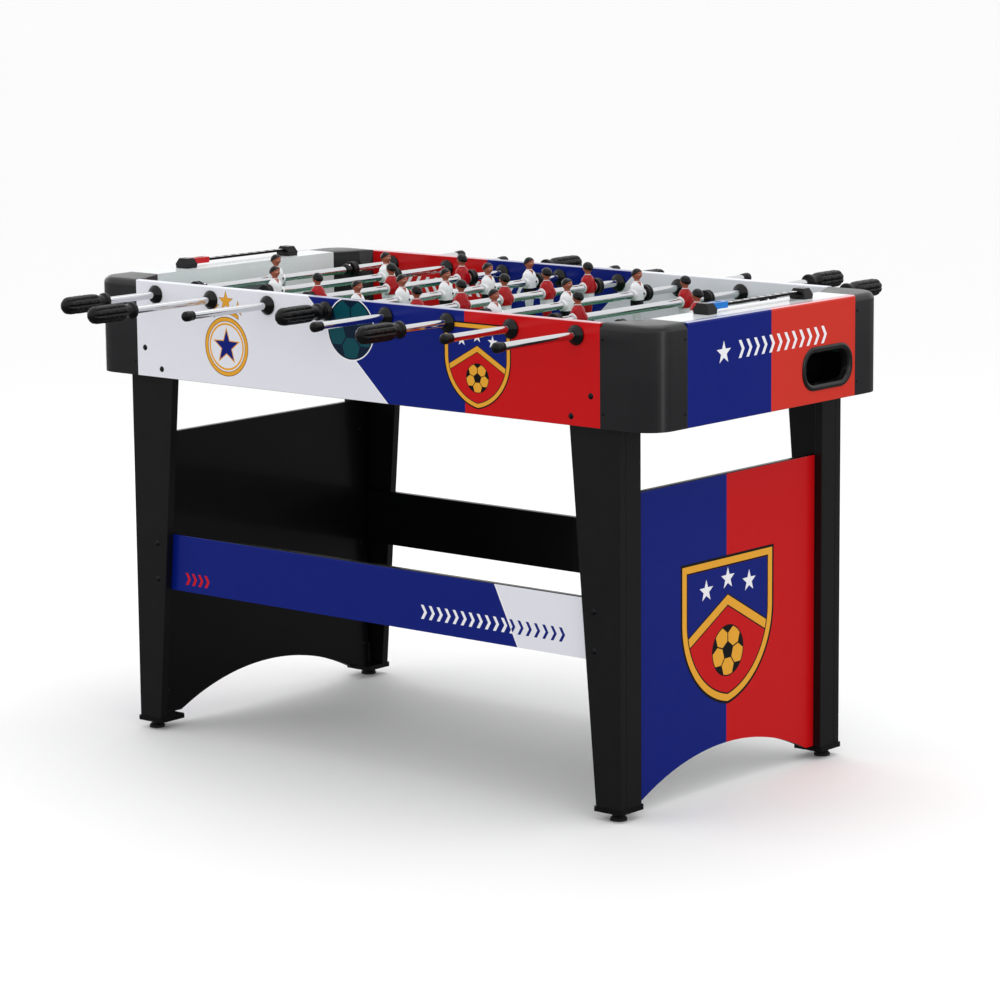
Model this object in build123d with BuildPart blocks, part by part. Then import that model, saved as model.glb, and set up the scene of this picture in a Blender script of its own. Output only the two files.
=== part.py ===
from build123d import *
import os

# A free-standing table football game: eight sliding and turning rods over a boxed playfield,
# carried on four board legs. +X runs along the table, +Y across it, +Z up, and the origin is on
# the floor under the middle of the table. Millimetres.

os.makedirs("parts", exist_ok=True)

# ---------------------------------------------------------------- driving dimensions
LENGTH = 1219.0                 # over the corner caps
WIDTH = 610.0                   # over the corner caps
HEIGHT = 785.0                  # floor to the top edge of the box
APRON = 163.4                   # height of the box sides
BOARD = 12.0                    # side, end and stretcher boards
LEG_BOARD = 15.0
SKIN = 3.0                      # wall of the moulded corner caps
JOINT = 0.2                     # gap between two glued or screwed pieces in one node

APRON_BOTTOM = HEIGHT - APRON
SIDE_FACE = WIDTH / 2           # outer face of the long sides
SIDE_INNER = SIDE_FACE - BOARD
END_FACE = LENGTH / 2           # outer face of the ends
END_INNER = END_FACE - BOARD

# corner caps
CAP_ALONG = 504.7               # the long side shows up to this X
CAP_ACROSS = 222.0              # the end panel shows up to this Y
CAP_ROUND = 45.0                # the large vertical corner radius
CAP_TOP_ROUND = 7.0
TONGUE_SIDE = 550.0             # reach of the thinned side board under the cap
TONGUE_END = 246.0
TONGUE_SINK = SKIN + 0.2        # how far the tongue lies under the cap's face
GOAL_WALL_FACE = 537.0          # inner face of the walls with the goal mouths
GOAL_WALL = 12.0

# playfield and goals
FIELD_TOP = 691.0
FIELD_BOARD = 6.0
FIELD_GROOVE = 3.0
GOAL_WIDTH = 190.0
GOAL_HEIGHT = 54.0
OUTLET_Y = 145.0
OUTLET_Z = 676.8
OUTLET_WIDTH = 137.0
OUTLET_HEIGHT = 71.0
OUTLET_RADIUS = 32.0
OUTLET_RIM = 11.0
TRAY_SHEET = 3.0

# rods
ROD_COUNT = 8
ROD_PITCH = 130.8
ROD_Z = 762.5
ROD_RADIUS = 6.35
ROD_WALL = 1.25
FIT = 0.05                      # radial running clearance on the rods
BEARING_RADIUS = 16.0
BEARING_SLEEVE = 9.0
BEARING_OUT = 9.0               # dome height outside the wall
BEARING_IN = 8.0                # dome height inside the wall
BUMPER_RADIUS = 14.0
BUMPER_LENGTH = 13.0
PLAYER_HALF = 15.0              # half the width of a player
GRIP_LENGTH = 98.0
GRIP_RADIUS = 14.6
TIP_LENGTH = 22.0
TIP_RADIUS = 8.4

# One line a rod: players, their spacing, the row's shift in Y, the side its handle is on,
# distance of the handle's collar, distance of the plain end, and gap from player to bumper.
RODS = [
    (1, 0.0, -10.8, -1, 420.0, 491.0, 174.0),
    (2, 280.9, -9.6, -1, 484.0, 459.0, 0.8),
    (3, 183.8, 0.0, 1, 410.0, 500.0, 0.8),
    (5, 109.7, -9.2, -1, 320.0, 458.0, 0.8),
    (5, 109.7, -10.3, 1, 320.0, 478.0, 0.8),
    (3, 184.4, -6.2, -1, 415.0, 494.0, 0.8),
    (2, 279.6, 0.7, 1, 484.0, 468.0, 36.0),
    (1, 0.0, 1.5, 1, 410.0, 500.0, 174.0),
]
ROD_X = [(i - (ROD_COUNT - 1) / 2) * ROD_PITCH for i in range(ROD_COUNT)]

# legs, supports and stretchers
LEG_FACE_Y = SIDE_INNER         # outer face of the front and back leg boards
LEG_FACE_X = 533.0              # outer face of the side leg boards
LEG_TOP = 683.0
LEG_FOOT = 22.0
LEG_WIDE = 434.0                # inner edge at the top of the taper
LEG_NARROW = 483.0              # inner edge at the foot
LEG_TAPER_TOP = 618.0
LEG_SIDE_REACH = 240.0          # inner edge of the side leg boards
PLATE_LIP = 3.0
PLATE_HEIGHT = 8.0
LEVELLER_X = 513.0
LEVELLER_Y = 273.0
LEVELLER_RADIUS = 13.5
LEVELLER_STEM = 4.0
SUPPORT_TOP = 514.0
SUPPORT_REACH = 265.0
ARCH_HALF = 220.0
ARCH_RISE = 52.0
STRETCHER_LOW = 250.0
STRETCHER_HIGH = 348.0

# score keepers
SCORER_X = 567.0
SCORER_MID_Y = 5.0
SCORER_HALF = 127.0             # from the middle to each post's centre
POST_LENGTH = 24.0
POST_WIDTH = 30.0
POST_HEIGHT = 17.0
RAIL_WIDTH = 12.0
RAIL_THICK = 4.0
RAIL_Z = HEIGHT + 9.0
MARKER_LENGTH = 36.0

# fasteners: head radius, shank radius and length of each kind, and where they go
FASTENERS = {"cap_side": (3.2, 1.6, 9.0), "cap_end": (3.2, 1.6, 9.0), "apron": (5.0, 3.0, 24.0),
             "leg": (5.0, 3.0, 24.0), "support": (4.5, 2.0, 20.0)}
CAP_SCREW_X = CAP_ALONG + 6
CAP_SCREW_Y = CAP_ACROSS + 6
CAP_SCREW_HEIGHTS = (645.0, 760.0)
APRON_BOLTS = ((486.5, 670.3), (447.3, 636.2))
LEG_BOLTS = ((481.0, 331.0), (481.0, 268.5))
SUPPORT_SCREW_Y = 252.0
SUPPORT_HEIGHTS = (60.0, 250.0, 460.0)

SIDES = {"front": -1, "back": 1}
ENDS = {"left": -1, "right": 1}


# ---------------------------------------------------------------- helpers
def save(piece, name):
    piece.label = name
    export_step(piece, f"parts/{name}.step")


def rod_plane(x):
    """A sketch plane whose X runs along a rod and whose Y is its radius."""
    return Plane(origin=(x, 0, ROD_Z), x_dir=(0, 1, 0), z_dir=(1, 0, 0))


def rod_axis(x):
    return Axis((x, 0, ROD_Z), (0, 1, 0))


def facing_side(x, z, side, depth=SIDE_FACE):
    """A location on a long side's face, looking outwards."""
    return Plane(origin=(x, side * depth, z), x_dir=(-side, 0, 0), z_dir=(0, side, 0))


def facing_end(y, z, end, depth=END_FACE):
    """A location on an end's face, looking outwards."""
    return Plane(origin=(end * depth, y, z), x_dir=(0, end, 0), z_dir=(end, 0, 0))


def drill(kind, side=None, end=None):
    """Drill the open block's piece for the fasteners of one kind on one side or end."""
    head, shank, length = FASTENERS[kind]
    for place in fastener_places(kind, side, end):
        with Locations(place):
            Hole(radius=shank + FIT, depth=length + FIT)


def fastener_places(kind, side=None, end=None):
    """Where each kind of fastener sits: on its face, looking outwards."""
    support_face = LEG_FACE_X - LEG_BOARD - BOARD
    places = []
    for s in SIDES.values() if side is None else [side]:
        for e in ENDS.values() if end is None else [end]:
            if kind == "cap_side":
                places += [facing_side(e * CAP_SCREW_X, z, s) for z in CAP_SCREW_HEIGHTS]
            elif kind == "cap_end":
                places += [facing_end(s * CAP_SCREW_Y, z, e) for z in CAP_SCREW_HEIGHTS]
            elif kind == "apron":
                places += [facing_side(e * x, z, s) for x, z in APRON_BOLTS]
            elif kind == "leg":
                places += [facing_side(e * x, z, s, LEG_FACE_Y) for x, z in LEG_BOLTS]
            elif kind == "support":
                places += [Plane(origin=(e * support_face, s * SUPPORT_SCREW_Y, z),
                                 x_dir=(0, 1, 0), z_dir=(-e, 0, 0)) for z in SUPPORT_HEIGHTS]
    return places


# ---------------------------------------------------------------- the box
def side_panel(side, name):
    """Long side board with rod holes, a playfield groove and thinned ends under the caps."""
    with BuildPart() as panel:
        with BuildSketch(Plane.XY.offset(APRON_BOTTOM)):
            with Locations((0, side * (SIDE_INNER + SIDE_FACE) / 2)):
                Rectangle(2 * CAP_ALONG, BOARD)
        extrude(amount=APRON)
        fillet(panel.edges().filter_by(Axis.X).group_by(Axis.Z)[-1], radius=2.5)
        with BuildSketch(Plane.XY.offset(APRON_BOTTOM)):
            with Locations((0, side * (SIDE_INNER + SIDE_FACE - TONGUE_SINK) / 2)):
                Rectangle(2 * TONGUE_SIDE, BOARD - TONGUE_SINK)
        extrude(amount=APRON - SKIN - 1)
        with BuildSketch(Plane.XY.offset(FIELD_TOP - FIELD_BOARD)):
            with Locations((0, side * SIDE_INNER)):
                Rectangle(2 * TONGUE_SIDE, 2 * FIELD_GROOVE)
        extrude(amount=FIELD_BOARD, mode=Mode.SUBTRACT)
        with Locations([facing_side(x, ROD_Z, side) for x in ROD_X]):
            Hole(radius=BEARING_SLEEVE, depth=BOARD + 1)
        drill("cap_side", side=side)
        drill("apron", side=side)
    save(panel.part, name)


def end_panel(end, name):
    """End board with the ball outlet and thinned ends under the caps."""
    with BuildPart() as panel:
        with BuildSketch(Plane.XY.offset(APRON_BOTTOM)):
            with Locations((end * (END_INNER + END_FACE) / 2, 0)):
                Rectangle(BOARD, 2 * CAP_ACROSS)
        extrude(amount=APRON)
        top = panel.edges().filter_by(Axis.Y).group_by(Axis.Z)[-1]
        fillet(top.sort_by(Axis.X)[-1 if end > 0 else 0], radius=4)
        with BuildSketch(Plane.XY.offset(APRON_BOTTOM)):
            with Locations((end * (END_INNER + END_FACE - TONGUE_SINK) / 2, 0)):
                Rectangle(BOARD - TONGUE_SINK, 2 * TONGUE_END)
        extrude(amount=APRON - SKIN - 1)
        with BuildSketch(facing_end(end * OUTLET_Y, OUTLET_Z, end)):
            RectangleRounded(OUTLET_WIDTH - OUTLET_RIM, OUTLET_HEIGHT - OUTLET_RIM,
                             OUTLET_RADIUS - OUTLET_RIM / 2)
        extrude(amount=-BOARD, mode=Mode.SUBTRACT)
        drill("cap_end", end=end)
    save(panel.part, name)


def corner_caps():
    """Moulded corner covers: rounded skin, top plate and the sloping inner corner face."""
    outer = [(CAP_ALONG, SIDE_FACE), (CAP_ALONG, CAP_ACROSS), (END_FACE, CAP_ACROSS),
             (END_FACE, SIDE_FACE)]
    inner = [(CAP_ALONG, SIDE_FACE - SKIN), (CAP_ALONG, CAP_ACROSS),
             (END_FACE - SKIN, CAP_ACROSS), (END_FACE - SKIN, SIDE_FACE - SKIN)]
    plate = [(CAP_ALONG, SIDE_FACE), (CAP_ALONG, SIDE_INNER), (GOAL_WALL_FACE, CAP_ACROSS),
             (END_FACE, CAP_ACROSS), (END_FACE, SIDE_FACE)]
    web = [(CAP_ALONG, SIDE_INNER), (GOAL_WALL_FACE, CAP_ACROSS),
           (GOAL_WALL_FACE + SKIN, CAP_ACROSS), (CAP_ALONG + SKIN, SIDE_INNER)]

    def rounded(points, radius):
        """A closed outline whose last corner is rounded."""
        with BuildSketch() as outline:
            with BuildLine():
                Polyline(*points, close=True)
            make_face()
            fillet(outline.vertices().sort_by(Axis((0, 0, 0), (1, 1, 0)))[-1], radius=radius)
        return outline.sketch

    with BuildPart() as cap:
        with BuildSketch(Plane.XY.offset(APRON_BOTTOM)):
            add(rounded(outer, CAP_ROUND))
            add(rounded(inner, CAP_ROUND - SKIN), mode=Mode.SUBTRACT)
        extrude(amount=APRON)
        with BuildSketch(Plane.XY.offset(HEIGHT - SKIN)):
            add(rounded(plate, CAP_ROUND))
        extrude(amount=SKIN)
        rim = cap.edges().group_by(Axis.Z)[-1]
        rim = rim.filter_by(lambda e: e.center().X > END_FACE - 20 or e.center().Y > SIDE_FACE - 20)
        fillet(rim.filter_by(lambda e: e.length > BOARD + 1), radius=CAP_TOP_ROUND)
        with BuildSketch(Plane.XY.offset(FIELD_TOP)):
            with BuildLine():
                Polyline(*web, close=True)
            make_face()
        extrude(amount=HEIGHT - SKIN - FIELD_TOP)
    with BuildPart() as caps:
        add(cap.part)
        mirror(about=Plane.YZ)
        mirror(about=Plane.XZ)
        drill("cap_side")
        drill("cap_end")
    save(caps.part, "corner_caps")


def inner_end_walls():
    """White walls at the ends of the field, each with a goal mouth."""
    with BuildPart() as walls:
        for end in (-1, 1):
            with BuildSketch(facing_end(0, 0, end, GOAL_WALL_FACE)):
                with Locations((0, (FIELD_TOP + HEIGHT - BOARD) / 2)):
                    Rectangle(2 * CAP_ACROSS, HEIGHT - BOARD - FIELD_TOP)
                with Locations((0, FIELD_TOP + GOAL_HEIGHT / 2)):
                    Rectangle(GOAL_WIDTH, GOAL_HEIGHT, mode=Mode.SUBTRACT)
            extrude(amount=GOAL_WALL)
    save(walls.part, "inner_end_walls")


def end_top_boards():
    """Boards that close the ends between the goal wall and the end panel."""
    with BuildPart() as boards:
        for end in (-1, 1):
            with BuildSketch(Plane.XY.offset(HEIGHT - BOARD)):
                with Locations((end * (GOAL_WALL_FACE + END_INNER) / 2, 0)):
                    Rectangle(END_INNER - GOAL_WALL_FACE, 2 * CAP_ACROSS)
            extrude(amount=BOARD)
    save(boards.part, "end_top_boards")


def playfield():
    with BuildPart() as field:
        with BuildSketch(Plane.XY.offset(FIELD_TOP - FIELD_BOARD)):
            Rectangle(2 * (GOAL_WALL_FACE + GOAL_WALL), 2 * (SIDE_INNER + FIELD_GROOVE))
        extrude(amount=FIELD_BOARD)
    save(field.part, "playfield")


def ball_return_trays():
    """Sloping troughs behind the goals, open above and towards the end panel."""
    start, stop = -112.0, 214.0
    high, low = 672.0, 636.0
    back = GOAL_WALL_FACE + GOAL_WALL
    with BuildPart() as trays:
        for end in (-1, 1):
            floor = [(end * start, high), (end * stop, low),
                     (end * stop, low - TRAY_SHEET), (end * start, high - TRAY_SHEET)]
            with BuildSketch(Plane(origin=(end * back, 0, 0), x_dir=(0, 1, 0), z_dir=(1, 0, 0))):
                with BuildLine():
                    Polyline(*floor, close=True)
                make_face()
            extrude(amount=end * (END_INNER - back))
            wall = [(end * start, high - TRAY_SHEET), (end * stop, low - TRAY_SHEET),
                    (end * stop, FIELD_TOP), (end * start, FIELD_TOP)]
            with BuildSketch(Plane(origin=(end * back, 0, 0), x_dir=(0, 1, 0), z_dir=(1, 0, 0))):
                with BuildLine():
                    Polyline(*wall, close=True)
                make_face()
            extrude(amount=end * TRAY_SHEET)
            for y, base in ((start, high), (stop - TRAY_SHEET, low)):
                with BuildSketch(Plane.XY.offset(base - TRAY_SHEET)):
                    with Locations((end * (back + END_INNER) / 2, end * (y + TRAY_SHEET / 2))):
                        Rectangle(END_INNER - back, TRAY_SHEET)
                extrude(amount=FIELD_TOP - base + TRAY_SHEET)
    save(trays.part, "ball_return_trays")


def ball_outlet_bezels():
    """Moulded rims lining the ball outlets."""
    with BuildPart() as bezels:
        for end in (-1, 1):
            face = facing_end(end * OUTLET_Y, OUTLET_Z, end)
            with BuildSketch(face):
                RectangleRounded(OUTLET_WIDTH, OUTLET_HEIGHT, OUTLET_RADIUS)
            extrude(amount=3)
            with BuildSketch(face):
                RectangleRounded(OUTLET_WIDTH - OUTLET_RIM - JOINT,
                                 OUTLET_HEIGHT - OUTLET_RIM - JOINT,
                                 OUTLET_RADIUS - OUTLET_RIM / 2)
            extrude(amount=-BOARD)
            with BuildSketch(face.offset(3)):
                RectangleRounded(OUTLET_WIDTH - 2 * OUTLET_RIM, OUTLET_HEIGHT - 2 * OUTLET_RIM,
                                 OUTLET_RADIUS - OUTLET_RIM)
            extrude(amount=-BOARD - 3, mode=Mode.SUBTRACT)
    save(bezels.part, "ball_outlet_bezels")


# ---------------------------------------------------------------- the stand
def leg(end, side, name):
    """Two boards in an L: a tapering one facing along the table's side, a straight one at the end."""
    taper = [(end * LEG_FACE_X, LEG_FOOT), (end * LEG_NARROW, LEG_FOOT),
             (end * LEG_WIDE, LEG_TAPER_TOP), (end * LEG_WIDE, LEG_TOP),
             (end * LEG_FACE_X, LEG_TOP)]
    face = Plane(origin=(0, side * LEG_FACE_Y, 0), x_dir=(1, 0, 0), z_dir=(0, -1, 0))
    inner = LEG_FACE_Y - LEG_BOARD - JOINT
    with BuildPart() as legs:
        with BuildSketch(face):
            with BuildLine():
                Polyline(*taper, close=True)
            make_face()
        extrude(amount=side * LEG_BOARD)
        with BuildSketch(Plane.XY.offset(LEG_FOOT)):
            with Locations((end * (LEG_FACE_X - LEG_BOARD / 2), side * (LEG_SIDE_REACH + inner) / 2)):
                Rectangle(LEG_BOARD, inner - LEG_SIDE_REACH)
        extrude(amount=LEG_TOP - LEG_FOOT)
        chamfer(legs.edges().filter_by(Axis.Z), length=0.8)
        for kind in ("apron", "leg", "support"):
            drill(kind, side=side, end=end)
    save(legs.part, name)


def foot_plates():
    """Moulded plates under the legs, each tapped for its leveller."""
    low_x, high_x = LEG_NARROW - PLATE_LIP, LEG_FACE_X + PLATE_LIP
    low_y, high_y = LEG_SIDE_REACH - PLATE_LIP, LEG_FACE_Y + PLATE_LIP
    with BuildPart() as plates:
        for end in (-1, 1):
            for side in (-1, 1):
                with BuildSketch(Plane.XY.offset(LEG_FOOT - PLATE_HEIGHT)):
                    with Locations((end * (low_x + high_x) / 2, side * (low_y + high_y) / 2)):
                        RectangleRounded(high_x - low_x, high_y - low_y, 4)
                    with Locations((end * LEVELLER_X, side * LEVELLER_Y)):
                        Circle(LEVELLER_STEM + FIT, mode=Mode.SUBTRACT)
                extrude(amount=PLATE_HEIGHT)
    save(plates.part, "foot_plates")


def leveller(end, side, name):
    """Round foot pad on a threaded stem."""
    profile = [(0, 0), (LEVELLER_RADIUS, 0), (LEVELLER_RADIUS, 4), (LEVELLER_RADIUS - 4, 8),
               (LEVELLER_STEM, 8), (LEVELLER_STEM, 58), (0, 58)]
    centre = (end * LEVELLER_X, side * LEVELLER_Y, 0)
    with BuildPart() as pad:
        with BuildSketch(Plane(origin=centre, x_dir=(1, 0, 0), z_dir=(0, -1, 0))):
            with BuildLine():
                Polyline(*profile, close=True)
            make_face()
        revolve(axis=Axis(centre, (0, 0, 1)))
    save(pad.part, name)


def end_support(end, name):
    """Lower end board with an arched foot."""
    face = facing_end(0, 0, end, LEG_FACE_X - LEG_BOARD - BOARD)
    with BuildPart() as support:
        with BuildSketch(face):
            with BuildLine():
                Polyline((-ARCH_HALF, LEG_FOOT), (-SUPPORT_REACH, LEG_FOOT),
                         (-SUPPORT_REACH, SUPPORT_TOP), (SUPPORT_REACH, SUPPORT_TOP),
                         (SUPPORT_REACH, LEG_FOOT), (ARCH_HALF, LEG_FOOT))
                ThreePointArc((ARCH_HALF, LEG_FOOT), (0, LEG_FOOT + ARCH_RISE),
                              (-ARCH_HALF, LEG_FOOT))
            make_face()
        extrude(amount=BOARD)
        fillet(support.edges().filter_by(Axis.Y).group_by(Axis.Z)[-1], radius=2)
        drill("support", end=end)
    save(support.part, name)


def stretcher(side, name):
    """Long rail tying the legs together."""
    outer = LEG_FACE_Y - LEG_BOARD
    half = LEG_FACE_X - LEG_BOARD - BOARD - 0.5
    with BuildPart() as rail:
        with BuildSketch(Plane.XY.offset(STRETCHER_LOW)):
            with Locations((0, side * (outer - BOARD / 2))):
                Rectangle(2 * half, BOARD)
        extrude(amount=STRETCHER_HIGH - STRETCHER_LOW)
        fillet(rail.edges().filter_by(Axis.X).group_by(Axis.Z)[-1], radius=2)
        drill("leg", side=side)
    save(rail.part, name)


# ---------------------------------------------------------------- rods, players and grips
def bearing_profile(side):
    """Half section of a bush: an outer dome with its sleeve, and the inner domed nut."""
    bore = ROD_RADIUS + FIT
    out = SIDE_FACE + BEARING_OUT
    outer = [(SIDE_INNER + JOINT, bore), (SIDE_INNER + JOINT, BEARING_SLEEVE - 0.1),
             (SIDE_FACE, BEARING_SLEEVE - 0.1), (SIDE_FACE, BEARING_RADIUS),
             (SIDE_FACE + 3.5, BEARING_RADIUS - 1), (out - 2, 10.5), (out, 8.5), (out, bore)]
    tip = SIDE_INNER - BEARING_IN
    inner = [(SIDE_INNER, bore), (SIDE_INNER, BEARING_RADIUS - 0.5),
             (SIDE_INNER - 3.5, BEARING_RADIUS - 1.5), (tip + 1.5, 10), (tip, 8.2), (tip, bore)]
    return [[(side * y, r) for y, r in shape] for shape in (outer, inner)]


def rod_bearings():
    """Two-part bushes that carry the rods in both long sides."""
    with BuildPart() as bushes:
        for x in ROD_X:
            for side in (-1, 1):
                for shape in bearing_profile(side):
                    with BuildSketch(rod_plane(x)):
                        with BuildLine():
                            Polyline(*shape, close=True)
                        make_face()
                    revolve(axis=rod_axis(x))
    save(bushes.part, "rod_bearings")


def make_player():
    """One figure on the rod's axis, facing +X, with the bore and the screw hole for the rod."""
    shirt = [(-9, 24, 17), (3, 29.5, 20), (13, 28, 17), (20, 15, 12), (24, 11, 10)]
    shorts_and_legs = [(-20, 23, 17), (-22, 17, 11), (-46, 14, 10)]
    foot = [(-46, 17, 12), (-55, 19, 15), (-63.5, 20, 21)]
    head_z, head_radius, head_height = 33.0, 8.2, 10.4
    with BuildPart() as figure:
        for stack in ([(-20, 23, 17)] + shirt, shorts_and_legs, foot):
            for z, width, depth in stack:
                with BuildSketch(Plane.XY.offset(z)):
                    RectangleRounded(depth, width, 4)
            loft(ruled=True)
        with BuildSketch(Plane.XZ):
            with BuildLine():
                EllipticalCenterArc((0, head_z), head_radius, head_height, -90, arc_size=180)
                Line((0, head_z + head_height), (0, head_z - head_height))
            make_face()
        revolve(axis=Axis.Z)
        with Locations(Plane(origin=(0, PLAYER_HALF, 0), z_dir=(0, 1, 0))):
            Hole(radius=ROD_RADIUS + FIT, depth=2 * PLAYER_HALF)
        with Locations(Plane(origin=(12, 7, 1), z_dir=(1, 0, 0))):
            Hole(radius=2.0, depth=12 - ROD_RADIUS + 1)
    return figure.part


def rod_set(number, figure):
    """All the pieces of one rod: tube, figures, end pieces and bumpers."""
    players, pitch, shift, side, collar, plain_end, gap = RODS[number - 1]
    x = ROD_X[number - 1]
    name = f"rod_{number}"
    facing = 0 if side < 0 else 180
    places = [shift + (k - (players - 1) / 2) * pitch for k in range(players)]
    handle_tip = collar + GRIP_LENGTH
    ends = sorted((side * (handle_tip - 12), -side * (plain_end - 4)))

    with BuildPart() as tube:
        with BuildSketch(Plane(origin=(x, ends[0], ROD_Z), x_dir=(1, 0, 0), z_dir=(0, 1, 0))):
            Circle(ROD_RADIUS)
            Circle(ROD_RADIUS - ROD_WALL, mode=Mode.SUBTRACT)
        extrude(amount=ends[1] - ends[0])
    save(tube.part, f"{name}_tube")

    with BuildPart() as team:
        with Locations([(x, y, ROD_Z) for y in places]):
            add(figure, rotation=(0, 0, facing))
        for y in places:
            step = -side
            with BuildSketch(Plane(origin=(x + step * 6.9, y + step * 7, ROD_Z + 1),
                                   z_dir=(step, 0, 0))):
                Circle(1.8)
            extrude(amount=2.4)
    save(team.part, f"{name}_players")

    bore = ROD_RADIUS + FIT
    grip = [(collar, bore), (collar, 12.5), (collar + 1.5, 14), (collar + 7, 14),
            (collar + 8.5, 12.5), (collar + 12, 10.2), (collar + 18, 10.2), (collar + 24, 13.4),
            (collar + 30, GRIP_RADIUS), (handle_tip - 14, GRIP_RADIUS), (handle_tip - 6, 12),
            (handle_tip - 1.5, 7), (handle_tip, 0), (handle_tip - 11.5, 0),
            (handle_tip - 11.5, bore)]
    cap_start = plain_end - TIP_LENGTH
    cap = [(cap_start, bore), (cap_start, 7.6), (cap_start + 4, 7.9), (cap_start + 8, TIP_RADIUS),
           (plain_end - 6, TIP_RADIUS), (plain_end - 2, 6.4), (plain_end, 3), (plain_end, 0),
           (plain_end - 3.5, 0), (plain_end - 3.5, bore)]
    with BuildPart() as grips:
        for way, shape in ((side, grip), (-side, cap)):
            with BuildSketch(rod_plane(x)):
                with BuildLine():
                    Polyline(*[(way * y, r) for y, r in shape], close=True)
                make_face()
            revolve(axis=rod_axis(x))
    save(grips.part, f"{name}_grips")

    reach = (players - 1) / 2 * pitch + PLAYER_HALF + gap
    with BuildPart() as bumpers:
        for way in (-1, 1):
            start = shift + way * reach
            with BuildSketch(Plane(origin=(x, start, ROD_Z), x_dir=(1, 0, 0), z_dir=(0, way, 0))):
                Circle(BUMPER_RADIUS)
                Circle(bore, mode=Mode.SUBTRACT)
            extrude(amount=BUMPER_LENGTH)
    save(bumpers.part, f"{name}_bumpers")


# ---------------------------------------------------------------- score keepers
def scorer_racks():
    """Numbered rails held between faceted posts on the end top boards."""
    with BuildPart() as racks:
        for end in (-1, 1):
            x = end * SCORER_X
            span = 2 * SCORER_HALF - POST_LENGTH - 2 * JOINT
            with BuildSketch(Plane.XY.offset(RAIL_Z)):
                with Locations((x, SCORER_MID_Y)):
                    Rectangle(RAIL_WIDTH, span)
            extrude(amount=RAIL_THICK)
            for way in (-1, 1):
                y = SCORER_MID_Y + way * SCORER_HALF
                for z, shrink in ((0, 2), (7, 0), (POST_HEIGHT, 10)):
                    with BuildSketch(Plane.XY.offset(HEIGHT + z)):
                        with Locations((x, y)):
                            Rectangle(POST_WIDTH - shrink, POST_LENGTH - 0.8 * shrink)
                loft(ruled=True)
    save(racks.part, "scorer_racks")


def scorer_marker(end, name):
    """Sliding window that frames one number."""
    start = SCORER_MID_Y - SCORER_HALF + POST_LENGTH / 2 + 1
    x = end * SCORER_X
    with BuildPart() as marker:
        with BuildSketch(Plane.XY.offset(RAIL_Z - 3)):
            with Locations((x, start + MARKER_LENGTH / 2)):
                RectangleRounded(RAIL_WIDTH + 5, MARKER_LENGTH, 2)
        extrude(amount=RAIL_THICK + 6)
        with BuildSketch(Plane.XY.offset(RAIL_Z - 0.4)):
            with Locations((x, start + MARKER_LENGTH / 2)):
                Rectangle(RAIL_WIDTH + 0.8, MARKER_LENGTH)
        extrude(amount=RAIL_THICK + 0.8, mode=Mode.SUBTRACT)
        with BuildSketch(Plane.XY.offset(RAIL_Z + RAIL_THICK)):
            with Locations((x, start + MARKER_LENGTH / 2)):
                RectangleRounded(RAIL_WIDTH - 4, MARKER_LENGTH - 18, 2)
        extrude(amount=4, mode=Mode.SUBTRACT)
    save(marker.part, name)


# ---------------------------------------------------------------- fasteners
def domed_screw(place, head, shank, length):
    """A domed head on a face with its shank going in."""
    profile = [(0, -length), (shank, -length), (shank, 0), (head, 0), (0.75 * head, 0.3 * head),
               (0, 0.45 * head)]
    section = Plane(origin=place.origin, x_dir=place.x_dir, z_dir=-place.y_dir)
    with BuildPart() as screw:
        with BuildSketch(section):
            with BuildLine():
                Polyline(*profile, close=True)
            make_face()
        revolve(axis=Axis(place.origin, place.z_dir))
    return screw.part


def screws_and_bolts():
    screws = [domed_screw(place, *size) for kind, size in FASTENERS.items()
              for place in fastener_places(kind)]
    with BuildPart() as fasteners:
        for screw in screws:
            add(screw)
    save(fasteners.part, "screws_and_bolts")


# ---------------------------------------------------------------- build everything
for where, side in SIDES.items():
    side_panel(side, f"{where}_side_panel")
    stretcher(side, f"{where}_stretcher")
for where, end in ENDS.items():
    end_panel(end, f"{where}_end_panel")
    end_support(end, f"{where}_end_support")
    scorer_marker(end, f"{where}_scorer_marker")
for side_name, side in SIDES.items():
    for end_name, end in ENDS.items():
        leg(end, side, f"{side_name}_{end_name}_leg")
        leveller(end, side, f"{side_name}_{end_name}_leveller")
corner_caps()
inner_end_walls()
end_top_boards()
playfield()
ball_return_trays()
ball_outlet_bezels()
foot_plates()
rod_bearings()
scorer_racks()
screws_and_bolts()
player = make_player()
for number in range(1, ROD_COUNT + 1):
    rod_set(number, player)
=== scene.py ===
import logging
import math
from dataclasses import dataclass, field
from enum import Enum

import bpy
import numpy as np
from mathutils import Matrix, Vector


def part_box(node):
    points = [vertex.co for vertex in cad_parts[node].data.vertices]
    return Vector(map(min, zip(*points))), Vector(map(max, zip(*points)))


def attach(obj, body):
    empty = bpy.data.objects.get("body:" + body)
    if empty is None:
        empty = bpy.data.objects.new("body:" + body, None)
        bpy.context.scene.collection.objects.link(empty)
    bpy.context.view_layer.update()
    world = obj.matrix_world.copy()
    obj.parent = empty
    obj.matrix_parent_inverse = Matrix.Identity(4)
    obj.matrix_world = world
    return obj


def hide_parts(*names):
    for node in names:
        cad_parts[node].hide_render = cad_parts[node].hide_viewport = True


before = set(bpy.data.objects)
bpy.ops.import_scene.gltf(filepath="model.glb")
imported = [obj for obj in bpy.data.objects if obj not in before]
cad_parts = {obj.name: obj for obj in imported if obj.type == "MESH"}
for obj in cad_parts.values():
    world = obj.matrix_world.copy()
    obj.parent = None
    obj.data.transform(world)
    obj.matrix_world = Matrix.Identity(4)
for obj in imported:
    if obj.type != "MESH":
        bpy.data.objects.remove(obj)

# A free-standing table football game: eight sliding rods of moulded players over a boxed, printed
# playfield on four board legs. Metres; +X runs along the table, +Y across it, +Z up.

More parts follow.
